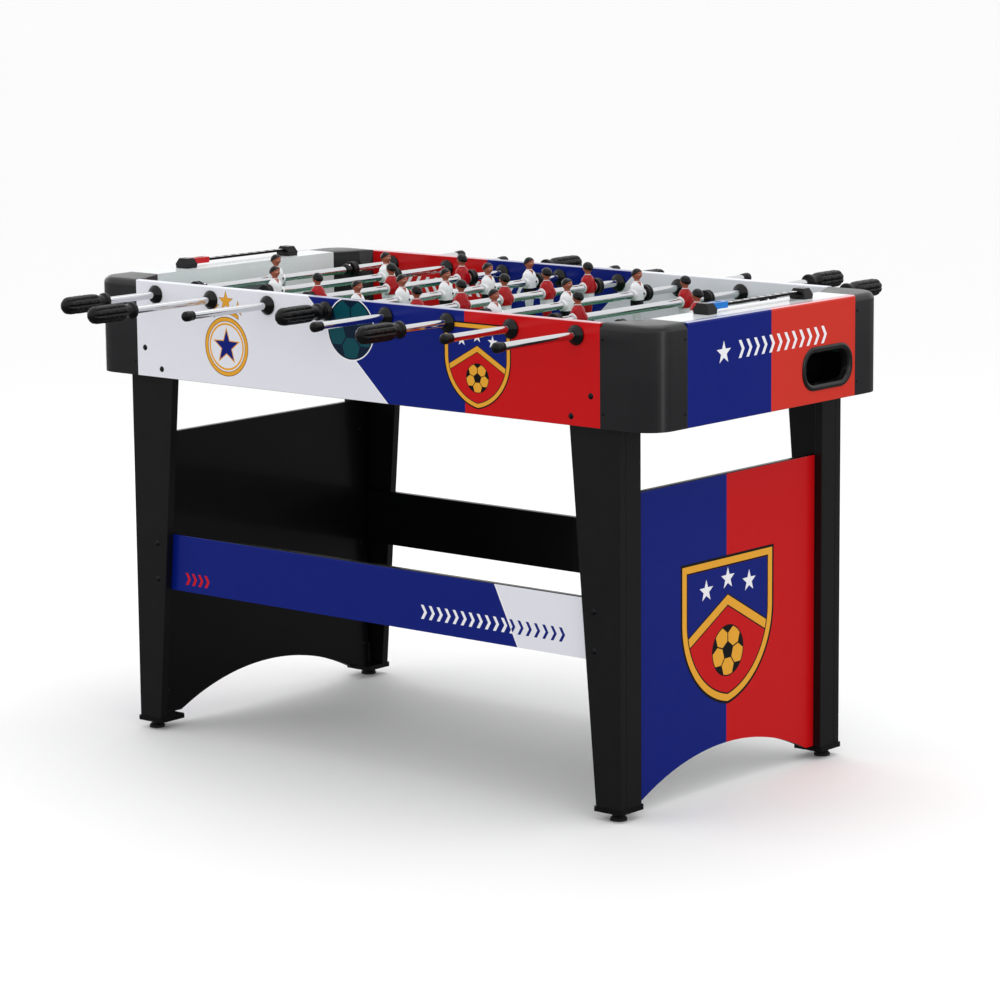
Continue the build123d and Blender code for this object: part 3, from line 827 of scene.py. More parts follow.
def softened(profile: list[tuple[float, float]], radius: float, steps: int = 4) -> Array:
    """Rounds a profile's corners: each becomes the curve (1-t)^2 a + 2(1-t)t p + t^2 b about its point p.

    Args:
        profile: corner points, as distance along the axis and radius.
        radius: how far each curve starts from its corner, at most 0.45 of the shorter side.
        steps: points on each curve.

    Returns:
        The rounded profile's points.
    """
    corner = np.array(profile, float)
    before, after = corner[:-2] - corner[1:-1], corner[2:] - corner[1:-1]
    long_before = np.linalg.norm(before, axis=1, keepdims=True)
    long_after = np.linalg.norm(after, axis=1, keepdims=True)
    reach = np.minimum(radius, 0.45 * np.minimum(long_before, long_after))
    a = corner[1:-1] + before / long_before * reach
    b = corner[1:-1] + after / long_after * reach
    t = np.linspace(0, 1, steps)[None, :, None]
    curve = (1 - t) ** 2 * a[:, None] + 2 * (1 - t) * t * corner[1:-1, None] + t ** 2 * b[:, None]
    return np.concatenate([corner[:1], curve.reshape(-1, 2), corner[-1:]])


def turned(profile: Array, around: int, centre: Array, way: int, ripple: Array | None = None) -> Skin:
    """Turns a profile about an axis along Y.

    A point at distance s and radius r goes to the centre plus s along the axis plus r round it, at
    angles evenly spaced; ripple, if any, is added to the radius at each point and angle.

    Args:
        profile: rows of distance along the axis and radius.
        around: how many corners each ring has.
        centre: where distance 0 lies on the axis.
        way: 1 if distance grows towards +Y, -1 if towards -Y.
        ripple: extra radius, as profile points by corners.

    Returns:
        The closed skin.
    """
    angle = np.linspace(0, 2 * np.pi, around, endpoint=False)[None, :]
    radius = profile[:, 1:2] + (0 if ripple is None else ripple)
    radius = np.broadcast_to(radius, (len(profile), around))
    up, over = radius * np.cos(angle), radius * np.sin(angle) * way
    along = np.broadcast_to(profile[:, :1] * way, radius.shape)
    return closed_rings(np.stack([over, along, up], -1) + centre)


@dataclass
class Workpiece:
    """Skins that become one mesh object."""

    name: str
    skins: list[Skin] = field(default_factory=list)
    own_place: list[Array] = field(default_factory=list)

    def add(self, skin: Skin, own_place: Array | None = None) -> None:
        """Adds a skin, with its points' places in its own measures if a pattern follows them."""
        self.skins.append(skin)
        self.own_place.append(np.zeros_like(skin.points) if own_place is None else own_place)

    def to_metres(self) -> None:
        """Scales every skin from millimetres to metres; the measures that patterns follow stay as they are."""
        self.skins = [Skin(s.points * MM, s.faces, s.finish, s.hair) for s in self.skins]

    def build(self, materials: list[bpy.types.Material], crease: float = 40.0) -> bpy.types.Object:
        """Makes the object, smooth except at creases.

        Args:
            materials: its finishes, in the order that the skins number them.
            crease: angle in degrees above which an edge stays sharp.

        Returns:
            The object, at the origin.
        """
        starts = np.cumsum([0] + [len(s.points) for s in self.skins])
        points = np.concatenate([s.points for s in self.skins])
        faces = [tuple(c + start for c in face) for s, start in zip(self.skins, starts) for face in s.faces]
        mesh = bpy.data.meshes.new(self.name)
        mesh.from_pydata(points.tolist(), [], faces)
        finish = np.concatenate([np.full(len(s.faces), s.finish) for s in self.skins])
        mesh.polygons.foreach_set("material_index", finish.astype(np.int32))
        mesh.polygons.foreach_set("use_smooth", np.ones(len(faces), bool))
        place = mesh.attributes.new("own_place", "FLOAT_VECTOR", "POINT")
        place.data.foreach_set("vector", np.concatenate(self.own_place).astype(np.float32).ravel())
        if any(s.hair is not None for s in self.skins):
            cover = [np.zeros(len(s.points)) if s.hair is None else s.hair for s in self.skins]
            cover = np.repeat(np.concatenate(cover)[:, None], 3, axis=1).astype(np.float32)
            hair = mesh.attributes.new("hair_cover", "FLOAT_VECTOR", "POINT")
            hair.data.foreach_set("vector", cover.ravel())
        mesh.set_sharp_from_angle(angle=math.radians(crease))
        for material in materials:
            mesh.materials.append(material)
        mesh.update()
        made = bpy.data.objects.new(self.name, mesh)
        bpy.context.scene.collection.objects.link(made)
        return made


# ---------------------------------------------------------------- the player
@dataclass(frozen=True)
class Player:
    """A moulded player on a rod, in millimetres from the rod's axis, facing +X."""

    half_width: float = 15.0
    hub_radius: float = 9.3
    head_height: float = 33.0
    head_size: tuple[float, float, float] = (8.6, 8.1, 9.8)
    body: tuple[tuple[float, ...], ...] = (
        # height, half width, half depth, forward shift, squareness
        (-63.5, 9.4, 9.6, 0.0, 5.0), (-62.8, 10.0, 10.4, 0.0, 5.0), (-58.0, 9.8, 8.4, 0.0, 5.0),
        (-53.0, 9.2, 6.6, 0.0, 4.5), (-50.0, 8.0, 5.9, 0.0, 4.0), (-46.0, 6.6, 5.0, 0.0, 3.0),
        (-41.0, 7.0, 5.2, -0.2, 2.8), (-34.0, 8.0, 5.8, -0.3, 2.8), (-27.0, 8.2, 5.7, 0.0, 3.0),
        (-23.4, 8.6, 6.2, 0.0, 3.0), (-22.6, 10.6, 8.0, 0.0, 3.0), (-22.0, 11.2, 8.5, 0.0, 3.0),
        (-15.0, 11.5, 8.7, 0.0, 3.0), (-10.4, 11.7, 8.7, 0.0, 3.0), (-9.6, 12.5, 9.4, 0.0, 3.0),
        (-4.0, 12.8, 9.9, 0.0, 3.0), (2.0, 13.2, 10.0, 0.1, 2.8), (8.0, 13.6, 9.3, 0.1, 2.6),
        (12.5, 13.4, 8.4, 0.0, 2.4), (16.0, 12.0, 7.4, 0.0, 2.3), (19.0, 9.0, 6.3, 0.0, 2.1),
        (21.0, 6.2, 5.4, 0.0, 2.0), (23.0, 4.8, 4.7, 0.0, 2.0), (28.0, 4.6, 4.5, 0.0, 2.0))
    arm: tuple[tuple[float, ...], ...] = (
        # height, sideways, forward, radius
        (-8.5, 11.2, 3.6, 0.8), (-7.5, 11.4, 3.2, 2.2), (-3.0, 11.8, 2.2, 2.8), (4.0, 11.9, 0.8, 3.0),
        (10.0, 11.4, 0.0, 3.3), (14.0, 10.4, -0.2, 3.2), (17.0, 9.0, -0.2, 2.0), (18.0, 8.4, -0.2, 0.6))

    def trunk(self) -> Array:
        """Body, legs and foot block as rings.

        Each ring is a squared oval: half depth times |cos|^(2/p) forwards and half width times |sin|^(2/p)
        sideways, p being the squareness. A groove down the middle of front and back parts the legs.
        """
        table = np.array(self.body)
        height = np.unique(np.concatenate([table[:, 0], np.linspace(-63.5, 28.0, 40)]))
        wide, deep, ahead, power = (np.interp(height, table[:, 0], table[:, k])[:, None] for k in range(1, 5))
        angle = np.linspace(0, 2 * np.pi, 36, endpoint=False)[None, :]
        cos, sin = np.cos(angle), np.sin(angle)
        forward = deep * np.sign(cos) * np.abs(cos) ** (2 / power)
        sideways = wide * np.sign(sin) * np.abs(sin) ** (2 / power)
        leg = np.clip((-23.0 - height) / 2, 0, 1) * np.clip((height + 52.0) / 3, 0, 1)
        forward *= 1 - 0.42 * leg[:, None] * np.exp(-(sideways / 1.7) ** 2)
        chest = np.exp(-((height - 11) / 5) ** 2)[:, None] * np.exp(-((np.abs(sideways) - 5) / 4) ** 2)
        forward += 0.7 * chest * (cos > 0)
        hem = np.clip((height + 24) / 2, 0, 1) * np.clip((14 - height) / 6, 0, 1)
        fold = np.sin(angle * 7 + height[:, None] * 0.35) * 0.22 * hem[:, None]
        rings = np.stack([forward + ahead + fold * cos, sideways + 0 * fold, height[:, None] + 0 * forward], -1)
        return rings

    def arms(self, side: int) -> Array:
        """One arm hanging beside the trunk: round rings about a line that bends forwards at the elbow."""
        table = np.array(self.arm)
        height = np.linspace(table[0, 0], table[-1, 0], 18)
        out, ahead, thick = (np.interp(height, table[:, 0], table[:, k])[:, None] for k in (1, 2, 3))
        angle = np.linspace(0, 2 * np.pi, 14, endpoint=False)[None, :]
        return np.stack([ahead + thick * np.cos(angle), side * out + thick * np.sin(angle),
                         height[:, None] + 0 * thick * angle], -1)

    def head(self) -> tuple[Array, Array]:
        """An egg-shaped head with a plain face and short hair.

        The egg's radii are scaled by bells in longitude and latitude: out for the nose, brow, chin, lips
        and ears, in for the eyes. Hair is the part above a line that falls from the brow to the nape.

        Returns:
            The rings, and how much each point is covered with hair.
        """
        lat = np.linspace(-np.pi / 2 + 0.03, np.pi / 2 - 0.03, 34)[:, None]
        lon = np.linspace(-np.pi, np.pi, 44, endpoint=False)[None, :]

        def bell(at_lon: float, at_lat: float, wide: float, tall: float) -> Array:
            """1 at a longitude and latitude, falling off as a bell."""
            return np.exp(-((np.abs(lon) - at_lon) / wide) ** 2 - ((lat - at_lat) / tall) ** 2)

        line = 0.02 + 0.50 * np.cos(lon) + 0.08 * np.cos(2 * lon)
        hair = np.clip((lat - line) / 0.14 + 0.5, 0, 1)
        curls = np.sin(lon * 9 + np.sin(lat * 11)) * np.sin(lat * 16 + np.cos(lon * 5)) * np.cos(lat)
        swell = (1.9 * bell(0, -0.10, 0.16, 0.17) + 1.0 * bell(0, 0.10, 0.12, 0.2)
                 + 0.45 * bell(0.3, 0.30, 0.3, 0.09)
                 - 0.75 * bell(0.36, 0.08, 0.17, 0.14) + 0.5 * bell(0, -0.46, 0.24, 0.07)
                 - 0.3 * bell(0, -0.53, 0.22, 0.03) + 0.4 * bell(0, -0.60, 0.2, 0.06)
                 + 0.8 * bell(0, -0.86, 0.3, 0.18) + 0.5 * bell(0.62, -0.2, 0.3, 0.25)
                 + 1.15 * bell(1.58, -0.02, 0.13, 0.24) + (1.35 + 0.3 * curls) * hair)
        deep, wide, tall = self.head_size
        jaw = 1 - 0.20 * np.clip(-0.2 - lat, 0, 1)
        flat = np.cos(lat) * jaw
        x = (deep + swell) * flat * np.cos(lon)
        y = (wide + 0.75 * swell) * flat * np.sin(lon)
        z = self.head_height + (tall + 0.5 * hair) * np.sin(lat)
        return np.stack([x, y, z], -1), hair

    def skins(self) -> list[Skin]:
        """Every part of the player, closed: trunk, arms, hub on the rod, head, and the fixing screw."""
        rings, hair = self.head()
        hub = softened([(-self.half_width, 0.01), (-self.half_width, self.hub_radius - 0.2),
                        (self.half_width, self.hub_radius - 0.2), (self.half_width, 0.01)], 0.9)
        screw = np.array([[0.0, 0.01], [0.0, 2.0], [1.6, 2.0], [2.1, 1.6], [2.3, 0.9], [1.5, 0.7], [1.5, 0.01]])
        head = turned(screw, 14, np.zeros(3), 1)
        quarter = np.array([[0.0, 1.0, 0.0], [-1.0, 0.0, 0.0], [0.0, 0.0, 1.0]])
        screw_skin = Skin(head.points @ quarter.T + np.array([8.6, 7.0, 1.0]), head.faces, 2)
        return [closed_rings(self.trunk()), closed_rings(self.arms(1)), closed_rings(self.arms(-1)),
                turned(hub, 28, np.zeros(3), 1), closed_rings(rings, 1, hair), screw_skin]


# ---------------------------------------------------------------- rods
@dataclass(frozen=True)
class RodPlan:
    """One rod: its players, their spacing and shift, the handle's side, and where the ends lie (mm)."""

    players: int
    spacing: float
    shift: float
    handle_side: int
    collar: float
    plain_end: float


@dataclass
class RodSet:
    """A rod with its players, handle, end cap and bumpers."""

    number: int
    plan: RodPlan
    rod_radius: float = 6.35
    grip_length: float = 98.0
    tip_length: float = 22.0

    @property
    def centre(self) -> Array:
        """The rod's middle, on its axis, in millimetres, read from its packed tube."""
        low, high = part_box(f"rod_{self.number}_tube")
        return np.array([(low.x + high.x) / 2, 0.0, (low.z + high.z) / 2]) / MM

    def shown(self, piece: Workpiece, what: str, body: str, materials: list,
              crease: float = 40.0) -> None:
        """Scales a piece to metres and puts it on its body in place of its CAD node.

        Args:
            piece: the skins, in millimetres.
            what: the CAD node's last name.
            body: the body's last name.
            materials: its finishes.
            crease: edges sharper than this angle stay sharp.
        """
        piece.to_metres()
        made = piece.build(materials, crease)
        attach(made, f"rod_{self.number}_{body}")
        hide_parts(f"rod_{self.number}_{what}")

    def tube(self, steel: bpy.types.Material, collar: bpy.types.Material, screw: bpy.types.Material) -> None:
        """The plated tube: a profile that goes out to the wall, along it and in again at the far end.

        Args:
            steel: the tube's finish.
            collar: the stop collars' finish.
            screw: their screws' finish.
        """
        low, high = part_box(f"rod_{self.number}_tube")
        start, stop = low.y / MM, high.y / MM
        outside, bore = self.rod_radius, self.rod_radius - 1.25
        wall = np.linspace(start + 1, stop - 1, 12)
        profile = np.concatenate([[[start, bore], [start, outside - 0.4], [start + 0.4, outside]],
                                  np.stack([wall, np.full(12, outside)], -1),
                                  [[stop - 0.4, outside], [stop, outside - 0.4], [stop, bore]]])
        piece = Workpiece(f"rod_{self.number}_plated_tube")
        piece.add(turned(profile, 40, np.array([self.centre[0], 0, self.centre[2]]), 1))
        if self.plan.players == 1:
            self.stop_collars(piece)
        self.shown(piece, "tube", "spinner", [steel, collar, screw])

    def stop_collars(self, piece: Workpiece) -> None:
        """Two clamped collars, each with a screw, that hold the bumpers away from a lone goalkeeper."""
        low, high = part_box(f"rod_{self.number}_bumpers")
        bore, length = self.rod_radius + 0.05, 11.5
        ring = softened([(0, 8.0), (0, bore), (length, bore), (length, 9.6), (length - 1, 10.4), (1, 10.4),
                         (0, 9.6), (0, 8.0)], 0.5)
        head = softened([(-1.0, 0.01), (-1.0, 1.9), (0.9, 1.9), (1.3, 0.9), (1.3, 0.01)], 0.4)
        upright = np.array([[1.0, 0.0, 0.0], [0.0, 0.0, -1.0], [0.0, 1.0, 0.0]])
        for edge, way in ((low.y / MM + 13.3, 1), (high.y / MM - 13.3, -1)):
            place = np.array([self.centre[0], edge, self.centre[2]])
            part = ring_skin(ring, 32, place, way)
            piece.add(Skin(part.points, part.faces, 1))
            pin = turned(head, 14, np.zeros(3), 1)
            lean = np.array([[0.8, 0.0, 0.6], [0.0, 1.0, 0.0], [-0.6, 0.0, 0.8]])
            spot = place + lean @ np.array([0.0, way * length / 2, 10.4])
            piece.add(Skin(pin.points @ (lean @ upright).T + spot, pin.faces, 2))

    def team(self, player: Player, paints: list, slot: str) -> None:
        """Every player on the rod, facing away from the handle's own goal."""
        half_turn = np.diag([-1.0, -1.0, 1.0]) if self.plan.handle_side > 0 else np.eye(3)
        piece = Workpiece(f"rod_{self.number}_men")
        skins = player.skins()
        for k in range(self.plan.players):
            y = self.plan.shift + (k - (self.plan.players - 1) / 2) * self.plan.spacing
            for skin in skins:
                piece.add(skin.placed(half_turn, self.centre + np.array([0.0, y, 0.0])), skin.points)
        self.shown(piece, "players", "spinner", paints, 50.0)

    def handle(self, rubber: bpy.types.Material) -> None:
        """Grip and end cap.

        The barrel's radius is a soft dome less two sets of narrow valleys: eight along it and one every
        21 mm across it, staggered from one row to the next, which leave long ridges with shallow breaks.
        """
        length, bore = self.grip_length, self.rod_radius + 0.05
        neck = softened([(length - 11.5, 0.01), (length - 11.5, bore), (0, bore), (0, 12.4), (1.2, 14.0),
                         (7.2, 14.0), (8.6, 12.0), (11.5, 10.4), (18.5, 10.4), (23.0, 13.2)], 1.4)
        s = np.linspace(24.0, length, 84)
        dome = np.clip((s - (length - 15.0)) / 15.0, 0, 1)
        swell = 13.4 + 1.2 * np.clip((s - 24) / 5, 0, 1) + 0.25 * np.sin((s - 24) / 60 * np.pi)
        radius = swell * np.sqrt(np.clip(1 - dome ** 2.2, 0, 1)) + 0.02
        profile = np.concatenate([neck, np.stack([s, radius], -1)])
        around = 64
        angle = np.linspace(0, 2 * np.pi, around, endpoint=False)[None, :]
        along = profile[:, :1]
        row_distance = np.abs((angle * 8 / (2 * np.pi) + 0.5) % 1 - 0.5) * 2 * np.pi / 8 * 14.6
        row = np.floor(angle * 8 / (2 * np.pi) + 0.5) % 2
        across = np.abs((along - 31.0 + row * 10.5 + 10.5) % 21.0 - 10.5)
        valleys = 2.7 * np.exp(-(row_distance / 1.6) ** 2)
        notches = 1.0 * np.exp(-(across / 1.5) ** 2)
        barrel = np.clip((along - 25.0) / 3, 0, 1) * np.clip((length - 1.5 - along) / 8, 0, 1)
        on_barrel = np.concatenate([np.zeros((len(neck), 1)), np.ones((len(s), 1))])
        ripple = -(valleys + notches) * barrel * on_barrel
        piece = Workpiece(f"rod_{self.number}_grip_and_cap")
        side = self.plan.handle_side
        place = np.array([self.centre[0], side * self.plan.collar, self.centre[2]])
        piece.add(turned(profile, around, place, side, ripple))
        start = self.plan.plain_end - self.tip_length
        t = np.linspace(0, np.pi / 2, 9)[1:]
        nose = np.stack([15.5 + 6.5 * np.sin(t), 8.4 * np.cos(t) + 0.02], -1)
        shaft = softened([(18.5, 0.01), (18.5, bore), (0, bore), (0, 7.6), (2.6, 7.6), (3.4, 6.9), (4.6, 6.9),
                          (5.6, 7.9), (9.0, 8.4), (15.5, 8.4)], 0.6)
        cap = np.concatenate([shaft, nose])
        place = np.array([self.centre[0], -side * start, self.centre[2]])
        piece.add(turned(cap, 32, place, -side))
        self.shown(piece, "grips", "spinner", [rubber])

    def bumpers(self, rubber: bpy.types.Material) -> None:
        """Two ribbed rubber rings, each between two beads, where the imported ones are."""
        low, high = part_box(f"rod_{self.number}_bumpers")
        bore = self.rod_radius + 0.05
        beads = softened([(0, 9.0), (0, bore), (13, bore), (13, 12.6), (12, 14.0), (9.4, 14.0), (8.4, 12.9),
                          (4.6, 12.9), (3.6, 14.0), (1, 14.0), (0, 12.6), (0, 9.0)], 0.7)[::-1]
        piece = Workpiece(f"rod_{self.number}_bumper_rings")
        for edge, way in ((low.y / MM, 1), (high.y / MM, -1)):
            place = np.array([self.centre[0], edge, self.centre[2]])
            piece.add(ring_skin(beads, 40, place, way))
        self.shown(piece, "bumpers", "carrier", [rubber])


def ring_skin(profile: Array, around: int, centre: Array, way: int) -> Skin:
    """Turns a closed profile about an axis along Y, so that the skin stays hollow in the middle.

    Args:
        profile: rows of distance along the axis and radius, the last one the same as the first.
        around: corners of each ring.
        centre: where distance 0 lies on the axis.
        way: 1 if distance grows towards +Y, -1 if towards -Y.

    Returns:
        The closed ring.
    """
    angle = np.linspace(0, 2 * np.pi, around, endpoint=False)[None, :]
    shape = profile[:-1]
    radius = np.broadcast_to(shape[:, 1:2], (len(shape), around))
    along = np.broadcast_to(shape[:, :1] * way, radius.shape)
    rings = np.stack([radius * np.sin(angle), along, radius * np.cos(angle)], -1) + centre
    return closed_rings(rings, loop=True)


@dataclass(frozen=True)
class Bushes:
    """The two-part bushes in both long sides: a domed flange outside, a domed nut inside (mm)."""

    side_face: float = 305.0
    side_inner: float = 293.0
    bore: float = 6.4

    def build(self, rods: list[RodSet], plastic: bpy.types.Material) -> None:
        """Makes all the bushes as one piece.

        Args:
            rods: the rods that they carry.
            plastic: their finish.
        """
        outer = softened([(-11.6, 7.5), (-11.6, self.bore), (9.0, self.bore), (9.0, 8.4), (7.6, 9.6),
                          (7.0, 11.6), (3.2, 14.6), (2.4, 15.9), (0.02, 16.0), (0.02, 8.9), (-11.6, 8.9),
                          (-11.6, 7.5)], 0.8)
        inner = softened([(0.02, 12.0), (0.02, self.bore), (8.0, self.bore), (8.0, 8.2), (6.6, 10.0),
                          (3.6, 14.0), (2.6, 15.3), (0.02, 15.5), (0.02, 12.0)], 0.8)
        piece = Workpiece("rod_bushes_and_nuts")
        for rod in rods:
            for side in (-1, 1):
                x, _, z = rod.centre
                piece.add(ring_skin(outer, 40, np.array([x, side * self.side_face, z]), side))
                piece.add(ring_skin(inner, 40, np.array([x, side * self.side_inner, z]), -side))
        piece.to_metres()
        made = piece.build([plastic])
        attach(made, "root")
        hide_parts("rod_bearings")


# ---------------------------------------------------------------- corner caps and outlets
@dataclass(frozen=True)
class CornerCaps:
    """Moulded corner covers with a large corner radius, a soft top edge and an inner corner face (mm)."""

    along: float = 504.7
    across: float = 222.0
    proud: float = 0.5
    corner: float = 45.0
    top_round: float = 11.5
    skin: float = 3.0
    goal_wall: float = 537.0
    side_inner: float = 293.0
    field_top: float = 691.0

    def plan(self, half_length: float, half_width: float) -> tuple[Array, Array, Array, Array]:
        """The cap's outline in plan, from the long side round the corner to the end.

        The outer line is straight, a quarter circle, and straight again. It starts and ends a little
        lower and closer in, as a quarter of an ellipse, so that the cap's ends are soft.

        Args:
            half_length: the table's half length at the end face.
            half_width: its half width at the side face.

        Returns:
            Outer points, their outward directions, inner points, and how far each station dips.
        """
        run_a, run_b = half_length - self.corner - self.along, half_width - self.corner - self.across
        arc = self.corner * math.pi / 2
        total = run_a + arc + run_b
        near = np.array([0.0, 0.15, 0.4, 0.8, 1.3, 2.0, 3.0, 4.5, 7.0])
        middle = np.linspace(run_a, run_a + arc, 17)
        s = np.unique(np.concatenate([near, np.linspace(9, run_a, 4), middle,
                                      np.linspace(run_a + arc, total - 9, 6), total - near]))
        turn = np.clip((s - run_a) / self.corner, 0, math.pi / 2)
        out = np.stack([np.sin(turn), np.cos(turn)], -1)
        centre = np.array([half_length - self.corner, half_width - self.corner])
        line = centre + out * self.corner
        line[:, 0] += np.minimum(s - run_a, 0)
        line[:, 1] -= np.maximum(s - run_a - arc, 0)
        edge = np.minimum(s, total - s)
        lift = np.sqrt(1 - (1 - np.minimum(edge / 2.0, 1)) ** 2)
        line += out * (self.proud * lift)[:, None]
        dip = 3.0 * (1 - np.sqrt(1 - (1 - np.minimum(edge / 3.0, 1)) ** 2))
        share = (s / total)[:, None]
        first, last = np.array([self.along, self.side_inner]), np.array([self.goal_wall, self.across])
        inner = (1 - share) * first + share * last
        return line, out, inner, dip

    def build(self, plastic: bpy.types.Material) -> None:
        """Makes the four caps as one piece: at each station of the plan, one closed section.

        The section climbs the outer face, rounds over a quarter circle onto the top plate, runs to the
        inner corner face and down it, and comes back along the inside of each at the skin's thickness.

        Args:
            plastic: their finish.
        """
        low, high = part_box("corner_caps")
        bottom, top = low.z / MM, high.z / MM
        line, out, inner, dip = self.plan(high.x / MM, high.y / MM)
        phi = np.linspace(0, math.pi / 2, 8)
        rows = [(line, np.full(len(line), bottom)), (line, np.full(len(line), bottom + 60))]
        r = self.top_round
        rows += [(line - out * (r - r * math.cos(p)), top - r + r * math.sin(p) - dip) for p in phi]
        crown = line - out * r
        rows += [(crown * 0.5 + inner * 0.5, top - dip), (inner + (crown - inner) * 0.03, top - dip),
                 (inner, top - 1.0 - dip), (inner, np.full(len(line), self.field_top))]
        back = inner + np.array([self.skin, 0.0])
        rows += [(back, np.full(len(line), self.field_top)), (back, top - self.skin - dip),
                 (crown, top - self.skin - dip)]
        inside = r - self.skin
        rows += [(line - out * (r - inside * math.cos(p)), top - r + inside * math.sin(p) - dip)
                 for p in phi[::-1][1:]]
        rows += [(line - out * self.skin, np.full(len(line), bottom))]
        section = np.stack([np.concatenate([plan, np.asarray(z)[:, None]], 1) for plan, z in rows], 1) * MM
        piece = Workpiece("moulded_corner_caps")
        for x in (-1, 1):
            for y in (-1, 1):
                piece.add(closed_rings(section * np.array([x, y, 1.0])))
        made = piece.build([plastic], 50.0)
        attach(made, "root")
        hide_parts("corner_caps")


@dataclass(frozen=True)
class OutletRims:
    """Rounded rims round the ball outlets: a rolled lip carried round a long rounded rectangle (mm)."""

    radius: float = 32.0
    half_wide: float = 68.5
    lip: tuple[tuple[float, float], ...] = (
        # inwards from the outer edge, outwards from the panel
        (0.0, 0.02), (0.3, 1.2), (1.2, 2.3), (2.8, 2.95), (5.0, 3.0), (7.0, 2.6), (8.8, 1.6), (10.0, 0.0),
        (10.8, -2.4), (11.1, -6.0), (11.1, -11.8), (5.9, -11.8), (5.9, 0.02), (3.0, 0.02))

    def build(self, plastic: bpy.types.Material) -> None:
        """Makes both rims as one piece.

        Args:
            plastic: their finish.
        """
        low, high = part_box("ball_outlet_bezels")
        wall = max(abs(c.x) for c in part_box("right_end_panel")) / MM
        half_tall = (high.z - low.z) / 2 / MM
        middle = (high.z + low.z) / 2 / MM
        outer = high.y / MM
        angle = np.linspace(0, math.pi / 2, 9)
        turns = np.concatenate([angle + k * math.pi / 2 for k in range(4)])
        corner_u = (self.half_wide - self.radius) * np.repeat([1, -1, -1, 1], 9)
        corner_v = (half_tall - self.radius) * np.repeat([1, 1, -1, -1], 9)
        lip = np.array(self.lip)
        reach = self.radius - lip[None, :, 0]
        u = corner_u[:, None] + reach * np.cos(turns)[:, None]
        v = corner_v[:, None] + reach * np.sin(turns)[:, None]
        depth = np.broadcast_to(lip[None, :, 1], u.shape)
        piece = Workpiece("rolled_outlet_rims")
        for end in (-1, 1):
            ring = np.stack([end * (wall + depth), end * (outer - self.half_wide) + u, middle + v], -1) * MM
            piece.add(closed_rings(ring, loop=True))
        made = piece.build([plastic], 50.0)
        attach(made, "root")
        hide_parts("ball_outlet_bezels")


# ---------------------------------------------------------------- score numbers
@dataclass(frozen=True)
class ScoreNumbers:
    """Raised white numbers from 0 to 10 on the two score rails."""

    size: float = 0.0125
    highest: int = 10
    thick: float = 0.00015
    bold: float = 0.0009
    rail_top: float = 0.798
    margin: float = 0.034

    def build(self, paint: bpy.types.Material) -> None:
        """Sets each rail's numbers along it, read from the end of the table.

        Args:
            paint: their white.
        """
        low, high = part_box("scorer_racks")
        marker_low, marker_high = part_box("right_scorer_marker")
        for end in (-1, 1):
            x = (marker_low.x + marker_high.x) / 2 * end
            start, stop = low.y + self.margin, high.y - self.margin
            made = []
            for number in range(self.highest + 1):
                y = start + (stop - start) * number / self.highest
                curve = bpy.data.curves.new("number", "FONT")
                curve.body, curve.size, curve.extrude = str(number), self.size, self.thick
                curve.align_x, curve.align_y, curve.resolution_u = "CENTER", "CENTER", 3
                curve.offset = self.bold
                holder = bpy.data.objects.new("number", curve)
                bpy.context.scene.collection.objects.link(holder)
                bpy.context.view_layer.update()
                graph = bpy.context.evaluated_depsgraph_get()
                mesh = bpy.data.meshes.new_from_object(holder.evaluated_get(graph))
                bpy.data.objects.remove(holder)
                turn = Matrix.Rotation(math.radians(90) * end, 4, "Z")
                mesh.transform(Matrix.Translation((x, y, self.rail_top)) @ turn)
                made.append(bpy.data.objects.new("number", mesh))
                bpy.context.scene.collection.objects.link(made[-1])
            with bpy.context.temp_override(active_object=made[0], object=made[0], selected_objects=made,
                                           selected_editable_objects=made):
                bpy.ops.object.join()
            numbers = made[0]
            numbers.name = f"{End(end).name.lower()}_score_numbers"
            numbers.data.materials.clear()
            numbers.data.materials.append(paint)
            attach(numbers, "root")


